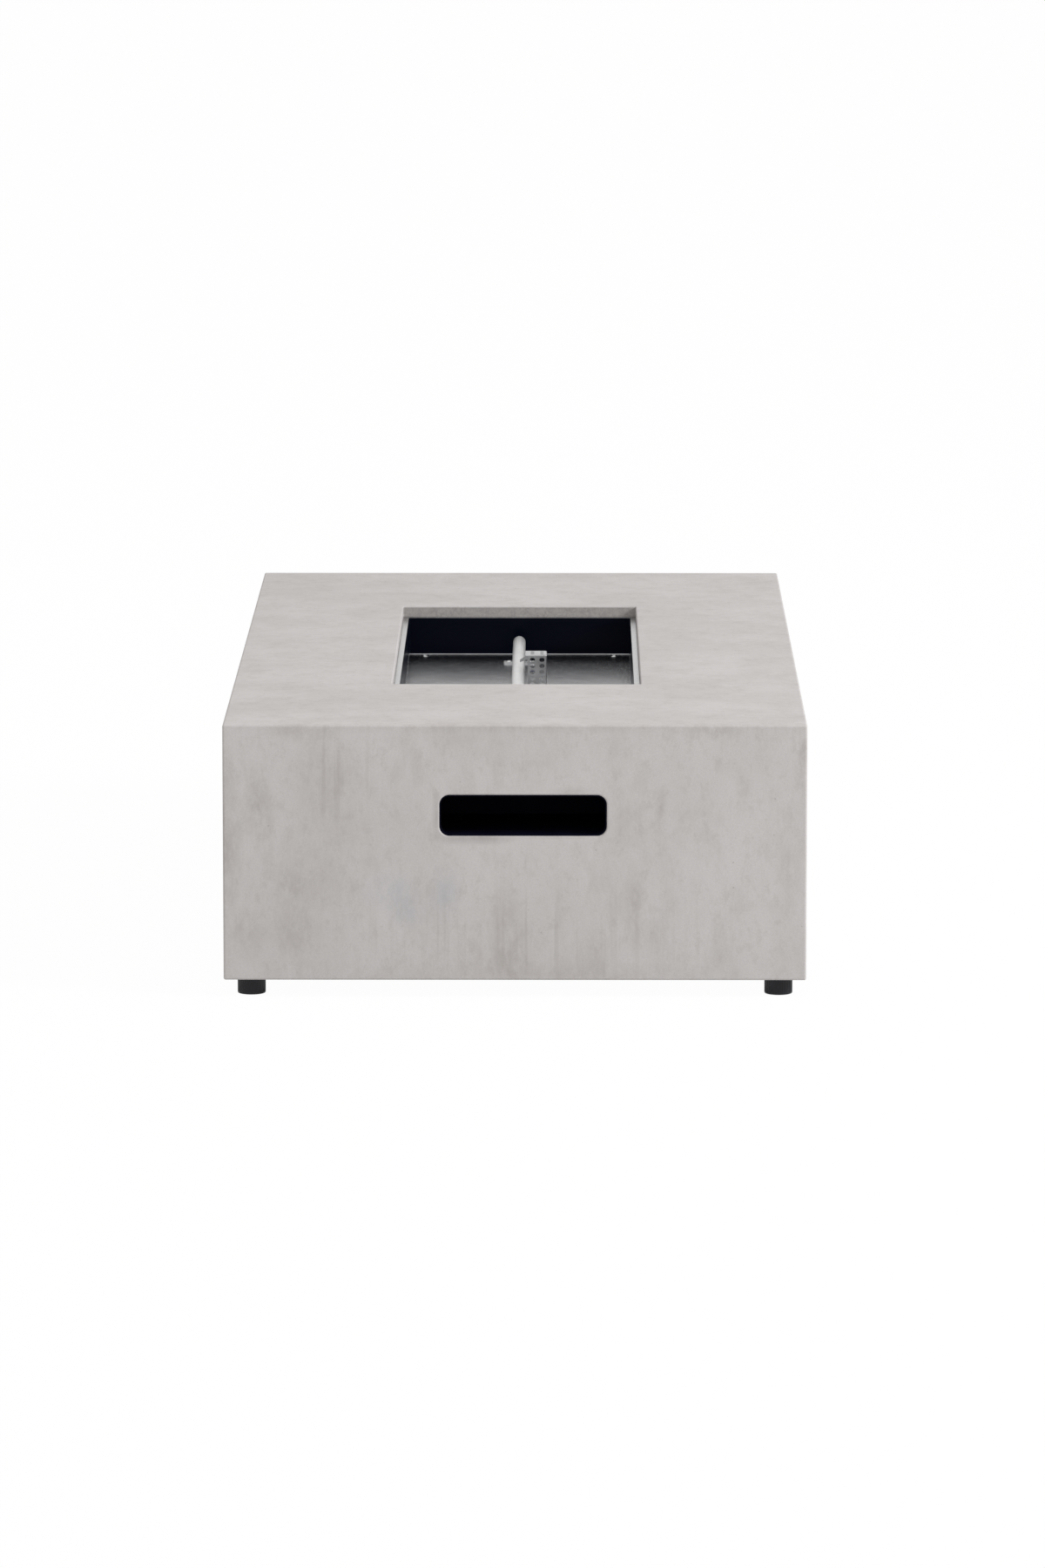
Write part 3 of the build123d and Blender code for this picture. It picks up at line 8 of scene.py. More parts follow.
import bpy
import numpy as np
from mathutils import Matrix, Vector


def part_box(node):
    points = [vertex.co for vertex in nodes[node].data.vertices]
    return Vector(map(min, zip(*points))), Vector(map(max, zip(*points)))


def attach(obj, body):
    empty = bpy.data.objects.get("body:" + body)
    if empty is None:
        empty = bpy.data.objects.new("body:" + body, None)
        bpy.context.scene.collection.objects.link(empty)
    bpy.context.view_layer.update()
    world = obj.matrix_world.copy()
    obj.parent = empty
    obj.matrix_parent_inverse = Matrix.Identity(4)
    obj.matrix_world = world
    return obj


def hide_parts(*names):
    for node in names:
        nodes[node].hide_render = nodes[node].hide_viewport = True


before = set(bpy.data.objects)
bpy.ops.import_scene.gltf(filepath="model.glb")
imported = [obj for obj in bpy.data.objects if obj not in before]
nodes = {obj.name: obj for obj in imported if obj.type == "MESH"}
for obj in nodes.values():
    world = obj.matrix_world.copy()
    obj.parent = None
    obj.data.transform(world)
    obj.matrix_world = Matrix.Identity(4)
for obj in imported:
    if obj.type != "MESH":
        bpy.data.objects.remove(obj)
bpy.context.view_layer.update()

# ---------------------------------------------------------------- places read from the frame
table_low, table_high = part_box("concrete_shell")
pan_low, pan_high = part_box("burner_pan")
front_y = table_low.y
top_z = table_high.z
FEET = ("front_left", "front_right", "back_left", "back_right")

# ---------------------------------------------------------------- node material helpers


def start_material(name, base_color, roughness, metallic=0.0, specular=0.5):
    """A new node material. Gives its node tree, its Principled shader and its object coordinates."""
    material = bpy.data.materials.new(name)
    material.use_nodes = True
    tree = material.node_tree
    shader = tree.nodes["Principled BSDF"]
    shader.inputs["Base Color"].default_value = (*base_color, 1)
    shader.inputs["Roughness"].default_value = roughness
    shader.inputs["Metallic"].default_value = metallic
    shader.inputs["Specular IOR Level"].default_value = specular
    place = tree.nodes.new("ShaderNodeTexCoord").outputs["Object"]
    return material, tree, shader, place


def feed(tree, socket, value):
    """Links an output to an input socket, or sets the socket where the value is plain."""
    if isinstance(value, bpy.types.NodeSocket):
        tree.links.new(value, socket)
    else:
        socket.default_value = value


def noise(tree, place, scale, detail=3.0, rough=0.5, distortion=0.0):
    """Fractal noise, about 0.3 to 0.7, with `scale` cells to the metre."""
    node = tree.nodes.new("ShaderNodeTexNoise")
    feed(tree, node.inputs["Vector"], place)
    node.inputs["Scale"].default_value = scale
    node.inputs["Detail"].default_value = detail
    node.inputs["Roughness"].default_value = rough
    node.inputs["Distortion"].default_value = distortion
    return node.outputs["Fac"]


def stretch(tree, place, scale, shift=(0, 0, 0)):
    """Scales the coordinates: a small factor draws the pattern out along that axis."""
    node = tree.nodes.new("ShaderNodeMapping")
    feed(tree, node.inputs["Vector"], place)
    node.inputs["Scale"].default_value = scale
    node.inputs["Location"].default_value = shift
    return node.outputs["Vector"]


def rise(tree, value, low, high, bottom=0.0, top=1.0):
    """A smooth step of `value` from `bottom` at `low` to `top` at `high`."""
    node = tree.nodes.new("ShaderNodeMapRange")
    node.interpolation_type = "SMOOTHSTEP"
    for name, number in (("From Min", low), ("From Max", high), ("To Min", bottom), ("To Max", top)):
        node.inputs[name].default_value = number
    feed(tree, node.inputs["Value"], value)
    return node.outputs["Result"]


def math_node(tree, operation, first, second=0.5):
    """One of Blender's math operations. ABSOLUTE takes the first value only."""
    node = tree.nodes.new("ShaderNodeMath")
    node.operation = operation
    feed(tree, node.inputs[0], first)
    feed(tree, node.inputs[1], second)
    return node.outputs[0]


def times(tree, first, second):
    """One output times another, or times a number."""
    return math_node(tree, "MULTIPLY", first, second)


def axes_of(tree, place):
    """The X, Y and Z of the coordinates, one output each."""
    split = tree.nodes.new("ShaderNodeSeparateXYZ")
    feed(tree, split.inputs["Vector"], place)
    return split.outputs["X"], split.outputs["Y"], split.outputs["Z"]


def cells(tree, place, scale):
    """Cells, `scale` to the metre: the distance from the cell's middle, and a share from 0 to 1 for each."""
    node = tree.nodes.new("ShaderNodeTexVoronoi")
    feed(tree, node.inputs["Vector"], place)
    node.inputs["Scale"].default_value = scale
    split = tree.nodes.new("ShaderNodeSeparateColor")
    feed(tree, split.inputs["Color"], node.outputs["Color"])
    return node.outputs["Distance"], split.outputs["Red"]


def blend_colours(tree, share, first, second):
    """Mixes two colours. A plain colour is given as three numbers."""
    node = tree.nodes.new("ShaderNodeMix")
    node.data_type = "RGBA"
    feed(tree, node.inputs["Factor"], share)
    for socket, colour in ((node.inputs["A"], first), (node.inputs["B"], second)):
        feed(tree, socket, colour if isinstance(colour, bpy.types.NodeSocket) else (*colour, 1))
    return node.outputs["Result"]


def soft_patch(tree, place, centre, reach):
    """An ellipsoid of influence: 1 at its centre, falling to 0 at its reach along each axis."""
    node = tree.nodes.new("ShaderNodeMapping")
    node.vector_type = "TEXTURE"
    feed(tree, node.inputs["Vector"], place)
    node.inputs["Location"].default_value = centre
    node.inputs["Scale"].default_value = reach
    ball = tree.nodes.new("ShaderNodeTexGradient")
    ball.gradient_type = "SPHERICAL"
    feed(tree, ball.inputs["Vector"], node.outputs["Vector"])
    return ball.outputs["Fac"]


def bump(tree, shader, height, distance, strength=1.0):
    """Raises the surface by `height` times `distance`, in metres."""
    node = tree.nodes.new("ShaderNodeBump")
    node.inputs["Strength"].default_value = strength
    node.inputs["Distance"].default_value = distance
    feed(tree, node.inputs["Height"], height)
    feed(tree, shader.inputs["Normal"], node.outputs["Normal"])


def paint(tree, shader, colour, roughness=None):
    """Feeds the shader its colour, and its roughness where that varies."""
    feed(tree, shader.inputs["Base Color"], colour)
    if roughness is not None:
        feed(tree, shader.inputs["Roughness"], roughness)


def shaded(base_color, factor, lift=0.0):
    """A colour times a factor, with a little added."""
    return tuple(channel * factor + lift for channel in base_color)


def dress(material, *names):
    """Gives the material to CAD nodes or to new pieces."""
    for name in names:
        piece = nodes[name] if name in nodes else bpy.data.objects[name]
        piece.data.materials.clear()
        piece.data.materials.append(material)


# ---------------------------------------------------------------- materials
CONCRETE = (0.560, 0.537, 0.527)
CONCRETE_PALE = (0.592, 0.569, 0.561)
CONCRETE_STAIN = (0.36, 0.328, 0.302)
CONCRETE_BLUE = (0.42, 0.44, 0.475)
CONCRETE_ROUGH = (0.43, 0.405, 0.375)  # unfinished inner faces
# Painted shade of the recess on the burner opening's end walls above the pan, in a lighter and a darker tone
OPENING_WALL = (0.42, 0.397, 0.383)  # the burner opening's end walls above the pan
OPENING_WALL_DARK = (0.31, 0.293, 0.282)
# grime, and painted shade at the hand slot's edges
SLOT_GRIME_AND_SHADE_COLOUR = (0.16, 0.15, 0.14)
# painted shade inside a pinhole
PINHOLE_SHADE = (0.2, 0.19, 0.18)

PINHOLE_CELLS = 60  # to the metre
PINHOLE_SHARE = 0.1  # of the cells hold a pinhole
SOFT_EDGE = 0.001  # over which one finish of the concrete gives way to the next
SKIN_TOP = 0.013  # the finished skin under the top face; beyond it the faces are rough
SKIN_SIDE = 0.011  # the same at the four sides
OPENING_DEPTH = 0.0012  # below the top face, where the opening's walls begin
OPENING_SPARE = 0.007  # beyond the pan
CONCRETE_RELIEF = 0.0002
FIBRE_RELIEF = 12  # times the skin's relief

STAIN_DEPTH = 0.52  # share of each stain's strength that shows
STAIN_REACH_Y = 0.03  # how far a stain's patch reaches to either side of the end face

# Stains on the control end: middle (x, z), reach (x, z), strength
FRONT_STAINS = (
    (-0.228, 0.245, 0.050, 0.085, 0.50),
    (-0.312, 0.235, 0.020, 0.062, 0.90),
    (-0.350, 0.190, 0.022, 0.110, 1.00),
    (-0.262, 0.140, 0.042, 0.050, 0.80),
    (-0.322, 0.078, 0.028, 0.036, 0.65),
    (-0.270, 0.085, 0.040, 0.040, 0.85),
    (-0.008, 0.082, 0.026, 0.070, 0.85),
    (-0.012, 0.048, 0.042, 0.032, 0.60),
    (-0.055, 0.060, 0.022, 0.040, 0.80),
    (0.146, 0.112, 0.018, 0.062, 1.00),
    (0.164, 0.072, 0.022, 0.040, 0.45),
    (0.178, 0.232, 0.009, 0.034, 1.00),
    (0.100, 0.058, 0.022, 0.040, 0.80),
    (0.240, 0.328, 0.045, 0.012, 1.00),
    (-0.260, 0.328, 0.060, 0.016, 0.80),
    (0.350, 0.298, 0.014, 0.055, 1.00),
    (0.332, 0.165, 0.018, 0.050, 0.60),
    (0.040, 0.030, 0.290, 0.016, 0.60),
    (0.000, 0.333, 0.360, 0.008, 0.60),
)
# Grime, and painted shade at the hand slot's edges: below its lower lip, beside its left edge and above its
# top
SLOT_GRIME_AND_SHADE = (  # round the hand slot
    (-0.048, 0.1980, 0.062, 0.0110, 0.90),
    (0.045, 0.1990, 0.070, 0.0040, 0.40),
    (-0.0950, 0.2240, 0.007, 0.034, 0.60),
    (0.070, 0.2540, 0.038, 0.0075, 0.30),
)
BLUE_STAINS = (  # bluish bloom left of the middle
    (-0.150, 0.130, 0.040, 0.030, 1.0),
    (-0.130, 0.105, 0.030, 0.024, 0.9),
    (-0.086, 0.128, 0.024, 0.040, 1.0),
)
DRIP_STAINS = ((-0.214, 0.280, 0.055, 0.085, 0.8), (0.020, 0.080, 0.300, 0.080, 0.6))


def stained(tree, place, drawn, colour):
    """Adds the stains of the control end, and the grime and painted shade at the hand slot's edges. Each is a
    soft patch times a ragged, dripping or even pattern.
    """
    ragged = rise(tree, noise(tree, drawn, 62, detail=8, rough=0.75), 0.36, 0.6, 0.1, 1)
    drips = rise(tree, noise(tree, stretch(tree, place, (1, 1, 0.03)), 110, detail=3, rough=0.6), 0.5, 0.66)
    even = rise(tree, noise(tree, drawn, 30, detail=4, rough=0.6), 0.3, 0.45, 0.6, 1)
    kinds = (
        (FRONT_STAINS, ragged, CONCRETE_STAIN),
        (DRIP_STAINS, drips, CONCRETE_STAIN),
        (BLUE_STAINS, ragged, CONCRETE_BLUE),
        # grime and painted shade round the hand slot
        (SLOT_GRIME_AND_SHADE, even, SLOT_GRIME_AND_SHADE_COLOUR),
    )
    for stains, pattern, tint in kinds:
        for x, z, reach_x, reach_z, strength in stains:
            patch = soft_patch(tree, place, (x, front_y, z), (reach_x, STAIN_REACH_Y, reach_z))
            patch = times(tree, patch, times(tree, pattern, strength * STAIN_DEPTH))
            colour = blend_colours(tree, patch, colour, tint)
    return colour


def zone(tree, axes, top, half_x, half_y):
    """1 below `top` and nearer the middle than half_x and half_y, and 0 beyond them, with a soft edge."""
    x, y, z = axes
    share = rise(tree, z, top - SOFT_EDGE, top, 1, 0)
    for along, half in ((x, half_x), (y, half_y)):
        across = math_node(tree, "ABSOLUTE", along)
        share = times(tree, share, rise(tree, across, half - SOFT_EDGE, half, 1, 0))
    return share


def cast_concrete():
    """Smooth cast concrete: clouds, fine mottles, soft dark stains, drip lines, grain and a few pinholes;
    the inner faces are rough with sprayed fibre mix. Painted shade darkens the pinholes, the hand slot's
    edges and the opening's end walls."""
    material, tree, shader, place = start_material("cast_concrete", CONCRETE, 0.72, specular=0.3)
    drawn = stretch(tree, place, (1, 1, 0.55))
    clouds = rise(tree, noise(tree, drawn, 7, detail=4, rough=0.6), 0.36, 0.64)
    colour = blend_colours(tree, clouds, CONCRETE, CONCRETE_PALE)
    mottles = rise(tree, noise(tree, drawn, 30, detail=9, rough=0.74, distortion=0.3), 0.44, 0.7, 0, 0.23)
    colour = blend_colours(tree, mottles, colour, CONCRETE_STAIN)
    shifted = stretch(tree, place, (1, 1, 0.7), (3, 1, 2))
    flecks = rise(tree, noise(tree, shifted, 95, detail=5, rough=0.7), 0.5, 0.68, 0, 0.2)
    colour = blend_colours(tree, flecks, colour, CONCRETE_STAIN)
    colour = stained(tree, place, drawn, colour)
    grain = noise(tree, place, 620, detail=3, rough=0.65)
    colour = blend_colours(tree, rise(tree, grain, 0.34, 0.66, 0, 0.2), colour, CONCRETE_STAIN)
    # Pinholes left by trapped air, darkened as painted shade inside them
    distance, share = cells(tree, place, PINHOLE_CELLS)
    chosen = math_node(tree, "GREATER_THAN", share, 1 - PINHOLE_SHARE)
    hole = times(tree, rise(tree, distance, 0.04, 0.08, 1, 0), chosen)
    colour = blend_colours(tree, times(tree, hole, 0.35), colour, PINHOLE_SHADE)
    # Rough inner faces, and painted shade of the recess on the opening's two end walls
    axes = axes_of(tree, place)
    inside = zone(tree, axes, top_z - SKIN_TOP, table_high.x - SKIN_SIDE, table_high.y - SKIN_SIDE)
    opening = zone(tree, axes, top_z - OPENING_DEPTH, pan_high.x + OPENING_SPARE, pan_high.y + OPENING_SPARE)
    end_wall = rise(tree, math_node(tree, "ABSOLUTE", axes[1]), pan_high.y - 0.006, pan_high.y - 0.003)
    opening = times(tree, opening, end_wall)
    fibres = noise(tree, place, 150, detail=6, rough=0.75, distortion=1.2)
    patchy = rise(tree, fibres, 0.35, 0.65)
    sprayed = blend_colours(tree, patchy, CONCRETE_ROUGH, CONCRETE)
    # painted shade of the recess on the opening's end walls, in patches
    dust_and_recess_shade = blend_colours(tree, patchy, OPENING_WALL_DARK, OPENING_WALL)
    colour = blend_colours(tree, inside, colour, sprayed)
    colour = blend_colours(tree, opening, colour, dust_and_recess_shade)
    paint(tree, shader, colour, rise(tree, clouds, 0, 1, 0.78, 0.66))
    relief = math_node(tree, "ADD", times(tree, grain, 0.5), noise(tree, place, 30))
    relief = math_node(tree, "SUBTRACT", relief, hole)
    relief = math_node(tree, "ADD", relief, times(tree, inside, times(tree, fibres, FIBRE_RELIEF)))
    bump(tree, shader, relief, CONCRETE_RELIEF, strength=0.6)
    return material


PAN_STEEL = (0.2, 0.2, 0.21)
# Bright metal for the floor and flange, and blue-black for the walls of the same sheet: painted light and
# shade
PAN_SHINE = (0.65, 0.655, 0.67)
PAN_RUBBED = (0.54, 0.545, 0.56)
# soot and painted shade where the floor meets the end walls
PAN_SOOT_AND_SHADE = (0.070, 0.072, 0.085)
PAN_FLANGE = (0.365, 0.363, 0.362)
# painted shade on the pan's walls
PAN_WALL_SHADE = (0.0014, 0.0022, 0.0068)
PAN_SHEET = 0.0012  # thickness
SOOT_AND_SHADE_START = 0.105  # from the pan's end, where the floor begins to darken
SOOT_AND_SHADE_FULL = 0.03


def blackened_pan():
    """Blackened steel, one sheet given two finishes by where light falls: the floor and the flange are bright
    metal with a dull shine, and the walls between them are blue-black as painted shade. Soot and painted
    shade darken the floor towards both ends."""
    material, tree, shader, place = start_material("blackened_pan", PAN_STEEL, 0.28, 1.0, 0.06)
    _, y, z = axes_of(tree, place)
    floor_top = pan_low.z + PAN_SHEET
    above_bend = rise(tree, z, floor_top + 0.0006, floor_top + 0.0014)
    below_flange = rise(tree, z, pan_high.z - 0.0013, pan_high.z - 0.0008, 1, 0)
    # the walls of the sheet get painted shade, the floor and flange bright metal
    shaded_wall = times(tree, above_bend, below_flange)
    rubbed = rise(tree, noise(tree, place, 35, detail=5, rough=0.65), 0.35, 0.7)
    shine = blend_colours(tree, rubbed, PAN_SHINE, PAN_RUBBED)
    # Soot and painted shade darken the floor towards both end walls
    on_floor = rise(tree, z, floor_top + 0.0001, floor_top + 0.0004, 1, 0)
    near_end = rise(tree, math_node(tree, "ABSOLUTE", y), pan_high.y - SOOT_AND_SHADE_START, pan_high.y - SOOT_AND_SHADE_FULL)
    shine = blend_colours(tree, times(tree, on_floor, near_end), shine, PAN_SOOT_AND_SHADE)
    shine = blend_colours(tree, below_flange, PAN_FLANGE, shine)
    scuffs = noise(tree, place, 700, detail=3, rough=0.6)
    paint(tree, shader, blend_colours(tree, shaded_wall, shine, PAN_WALL_SHADE), rise(tree, scuffs, 0.3, 0.7, 0.20, 0.28))
    feed(tree, shader.inputs["Metallic"], rise(tree, shaded_wall, 0, 1, 1, 0))
    bump(tree, shader, scuffs, distance=0.000008)
    return material


def coated_sheet(name, base_color, roughness, specular=0.5):
    """Powder coat or enamel on sheet steel: even colour, a fine orange peel, dust in the low places."""
    material, tree, shader, place = start_material(name, base_color, roughness, specular=specular)
    wear = noise(tree, place, 24, detail=4, rough=0.6)
    dust_and_recess_shade = blend_colours(tree, rise(tree, wear, 0.45, 0.75), base_color, shaded(base_color, 1.35, 0.0006))
    paint(tree, shader, dust_and_recess_shade, rise(tree, wear, 0.35, 0.65, roughness - 0.03, roughness + 0.05))
    bump(tree, shader, noise(tree, place, 900, detail=2), distance=0.00002)
    return material


def worked_metal(name, base_color, roughness, grain=(1, 1, 1), cloudy=0.82):
    """Bare metal with drawn or brushed lines: `grain` is small along the lines, and the clouds are as dark as
    `cloudy` times the colour."""
    material, tree, shader, place = start_material(name, base_color, roughness, metallic=1.0)
    lines = noise(tree, stretch(tree, place, grain), 600, detail=3, rough=0.6)
    cloud = rise(tree, noise(tree, place, 40, detail=3), 0.35, 0.7)
    colour = blend_colours(tree, cloud, base_color, shaded(base_color, cloudy))
    paint(tree, shader, colour, rise(tree, lines, 0.3, 0.7, roughness - 0.06, roughness + 0.08))
    bump(tree, shader, lines, distance=0.00001)
    return material


def galvanised_sheet():
    """Zinc-coated sheet: flat crystals of slightly different greys."""
    material, tree, shader, place = start_material("galvanised_sheet", (0.5, 0.51, 0.52), 0.4, metallic=0.9)
    _, share = cells(tree, place, 110)
    colour = blend_colours(tree, share, (0.42, 0.43, 0.44), (0.6, 0.61, 0.62))
    paint(tree, shader, colour, rise(tree, share, 0, 1, 0.32, 0.5))
    return material


def rough_casting(name, base_color, roughness):
    """Die-cast metal with a fine blasted skin."""
    material, tree, shader, place = start_material(name, base_color, roughness, metallic=1.0)
    blasted = noise(tree, place, 1500, detail=3, rough=0.7)
    cloud = rise(tree, noise(tree, place, 60, detail=3), 0.4, 0.7)
    colour = blend_colours(tree, cloud, base_color, shaded(base_color, 0.75))
    paint(tree, shader, colour, rise(tree, blasted, 0.3, 0.7, roughness - 0.05, roughness + 0.1))
    bump(tree, shader, blasted, distance=0.00006)
    return material


def moulded(name, base_color, roughness, texture_scale=1800, relief=0.00002, specular=0.5):
    """Moulded plastic or rubber with a fine tool texture and slightly uneven gloss."""
    material, tree, shader, place = start_material(name, base_color, roughness, specular=specular)
    cloud = noise(tree, place, 50, detail=3)
    lighter = shaded(base_color, 1.3, 0.002)
    colour = blend_colours(tree, rise(tree, cloud, 0.45, 0.75), base_color, lighter)
    paint(tree, shader, colour, rise(tree, cloud, 0.35, 0.65, roughness - 0.04, roughness + 0.05))
    bump(tree, shader, noise(tree, place, texture_scale, detail=2), relief)
    return material


def glazed_ceramic():
    """White alumina with a thin glaze and faint specks."""
    white = (0.83, 0.81, 0.76)
    material, tree, shader, place = start_material("glazed_ceramic", white, 0.22)
    specks = rise(tree, noise(tree, place, 900, detail=2), 0.66, 0.75, 0, 0.4)
    paint(tree, shader, blend_colours(tree, specks, white, (0.5, 0.46, 0.4)))
    return material


HEAT_STRAW = (0.5, 0.34, 0.17)
HEAT_BLUE = (0.16, 0.17, 0.27)
HEATED_LENGTH = 0.03  # of a rod's tip
HEAT_UNEVEN = 0.006  # how far the tints wander along it


def heated_metal(name, base_color, node):
    """Metal with straw and blue heat tints that deepen over the last stretch up to the node's tip."""
    hot_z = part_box(node)[1].z
    cool_z = hot_z - HEATED_LENGTH
    half_z = (cool_z + hot_z) / 2
    material, tree, shader, place = start_material(name, base_color, 0.35, metallic=1.0)
    uneven = times(tree, noise(tree, place, 300, detail=3), HEAT_UNEVEN)
    height = math_node(tree, "ADD", axes_of(tree, place)[2], uneven)
    colour = blend_colours(tree, rise(tree, height, cool_z, half_z), base_color, HEAT_STRAW)
    colour = blend_colours(tree, rise(tree, height, half_z, hot_z), colour, HEAT_BLUE)
    paint(tree, shader, colour)
    return material


def dress_cad_nodes():
    """Every carried-over node gets its finish."""
    upright = (1, 1, 0.04)  # brushed lines along Z
    lengthwise = (1, 0.02, 1)  # drawn lines along Y
    dress(cast_concrete(), "concrete_shell")
    dress(blackened_pan(), "burner_pan")
    black_coat = coated_sheet("black_coat", (0.0015, 0.0016, 0.0075), 0.6, specular=0.06)
    dress(black_coat, "slot_bezel", "control_bay")
    tube_steel = worked_metal("tube_steel", (0.66, 0.655, 0.65), 0.42, lengthwise, cloudy=0.95)
    dress(tube_steel, "burner_tube", "tube_end_caps", "burner_feed")
    guard_steel = worked_metal("guard_steel", (0.48, 0.48, 0.485), 0.35, upright)
    dress(guard_steel, "sensor_guard", "sensor_bracket")
    sheet_steel = worked_metal("sheet_steel", (0.68, 0.68, 0.68), 0.46, upright)
    dress(sheet_steel, "burner_saddles", "valve_bonnet")
    bright_steel = worked_metal("bright_steel", (0.78, 0.78, 0.78), 0.18)
    dress(bright_steel, "pan_corner_screws", "saddle_screws", "guard_screws")
    zinc = worked_metal("zinc_plate", (0.6, 0.6, 0.57), 0.32)
    dress(zinc, "bay_screws", "shield_standoffs", "shield_nuts", "feed_locknut", "bonnet_screws")
    dress(zinc, "valve_spindle", "valve_screws", "igniter_lock_ring")
    dress(galvanised_sheet(), "heat_shield", "wire_clips")
    brass = worked_metal("machined_brass", (0.62, 0.42, 0.16), 0.28)
    dress(brass, "foot_inserts", "gas_orifice", "valve_plug")
    dress(brass, "inlet_fitting", "flare_nuts", "thermocouple_nut")
    dress(rough_casting("cast_zinc", (0.42, 0.42, 0.41), 0.5), "air_mixer")
    dress(rough_casting("cast_aluminium", (0.55, 0.55, 0.56), 0.45), "gas_valve_body")
    black_plastic = moulded("black_plastic", (0.012, 0.012, 0.013), 0.42)
    dress(black_plastic, "control_knob", "igniter_housing", "igniter_cap")
    dress(moulded("button_plastic", (0.016, 0.016, 0.017), 0.25, relief=0.000005), "igniter_button")
    dress(coated_sheet("dial_coat", (0.02, 0.02, 0.022), 0.4), "dial_plate")
    dress(moulded("battery_jacket", (0.06, 0.09, 0.06), 0.35), "igniter_battery")
    dress(glazed_ceramic(), "spark_electrode")
    dress(heated_metal("electrode_wire", (0.4, 0.39, 0.38), "electrode_rod"), "electrode_rod")
    dress(heated_metal("probe_sheath", (0.5, 0.49, 0.47), "thermocouple"), "thermocouple")
    dress(worked_metal("copper_lead", (0.7, 0.33, 0.18), 0.35), "thermocouple_lead")
    dress(moulded("wire_jacket", (0.35, 0.02, 0.012), 0.45), "ignition_wire")
    dress(worked_metal("flex_steel", (0.6, 0.6, 0.59), 0.3), "flex_connector")
    foot_rubber = moulded("foot_rubber", (0.0040, 0.0040, 0.0065), 0.32, 900, 0.00003, 0.28)
    dress(foot_rubber, *(f"foot_pad_{corner}" for corner in FEET))
    dress(zinc, *(f"foot_stud_{corner}" for corner in FEET))


# ---------------------------------------------------------------- surfaces from rings of points
TURNS = {  # where the local X, Y and Z of a turned piece point
    "up": ((1, 0, 0), (0, 1, 0), (0, 0, 1)),
    "down": ((1, 0, 0), (0, -1, 0), (0, 0, -1)),
    "front": ((1, 0, 0), (0, 0, -1), (0, 1, 0)),
    "back": ((-1, 0, 0), (0, 0, 1), (0, 1, 0)),
}


def rings_about(heights, radii, around):
    """Rings about the local Z axis. Ring i lies at heights[i]; radii[i] is its radius, or its radius in each
    of `around` directions, anticlockwise from the X axis."""
    angle = np.linspace(0, 2 * np.pi, around, endpoint=False)
    radii = np.stack([np.broadcast_to(np.asarray(radius, float), (around,)) for radius in radii])
    heights = np.broadcast_to(np.asarray(heights, float)[:, None], radii.shape)
    return np.stack([radii * np.cos(angle), radii * np.sin(angle), heights], axis=-1)


def placed(rings, places, turn="up"):
    """The rings, turned to face one way, at each place."""
    turned = rings @ np.array(TURNS[turn], float).T
    return [turned + np.array(place) for place in places]


SHARP_ANGLE = math.radians(38)  # an edge that bends more is shaded sharp


def skin(name, parts, looped=False):
    """A closed surface over each part's rings: four-sided faces from one ring to the next, and a fan from the
    middle of each end ring. Where the profile is looped, its last ring joins its first instead."""
    points, faces, start = [], [], 0
    for rings in parts:
        rows, around = rings.shape[:2]
        ring = start + np.arange(rows * around).reshape(rows, around)
        beside = np.roll(ring, -1, axis=1)
        last = rows if looped else rows - 1
        corners = [ring, beside, np.roll(beside, -1, axis=0), np.roll(ring, -1, axis=0)]
        faces += np.stack(corners, axis=-1)[:last].reshape(-1, 4).tolist()
        points.append(rings.reshape(-1, 3))
        start += rows * around
        if not looped:
            points.append(rings[[0, -1]].mean(axis=1))
            faces += np.stack([np.full(around, start), beside[0], ring[0]], axis=-1).tolist()
            faces += np.stack([np.full(around, start + 1), ring[-1], beside[-1]], axis=-1).tolist()
            start += 2
    mesh = bpy.data.meshes.new(name)
    mesh.from_pydata(np.concatenate(points).tolist(), [], faces)
    mesh.shade_smooth()
    mesh.set_sharp_from_angle(angle=SHARP_ANGLE)
    piece = bpy.data.objects.new(name, mesh)
    bpy.context.scene.collection.objects.link(piece)
    return piece


def stand_for(piece, body, node):
    """The piece moves with the body and stands for the CAD node, whose finish it takes."""
    piece.data.materials.append(nodes[node].data.materials[0])
    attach(piece, body)
    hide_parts(node)


def block(low, high):
    """The two rings of a rectangular block."""
    corners = [(low[0], low[1]), (high[0], low[1]), (high[0], high[1]), (low[0], high[1])]
    return np.array([[(x, y, z) for x, y in corners] for z in (low[2], high[2])], float)


def hexagon(flats, around):
    """Radius of a hexagon in each direction, with a corner on the X axis: half the flats over the cosine of
    the angle to the middle of the nearest flat."""
    angle = np.linspace(0, 2 * np.pi, around, endpoint=False)
    return flats / 2 / np.cos(angle % (np.pi / 3) - np.pi / 6)


THREAD_DEPTH = 0.54  # of the pitch
THREAD_RINGS = 6  # to the pitch


def thread(start, length, radius, pitch, around):
    """Heights and radii of a screw thread: the radius falls from the crest to the root and back once for each
    pitch, and the crest climbs one pitch in a turn. Both ends run out in a cone."""
    heights = start + np.arange(0, length + pitch / (2 * THREAD_RINGS), pitch / THREAD_RINGS)
    turn = np.linspace(0, 1, around, endpoint=False)
    climb = heights[:, None] / pitch - turn
    groove = np.abs(2 * (climb - np.floor(climb)) - 1)
    depth = THREAD_DEPTH * pitch
    ends = np.minimum(heights - start, start + length - heights)[:, None]
    return list(heights), list(np.minimum(radius - depth * groove, radius - depth + np.maximum(ends, 0)))


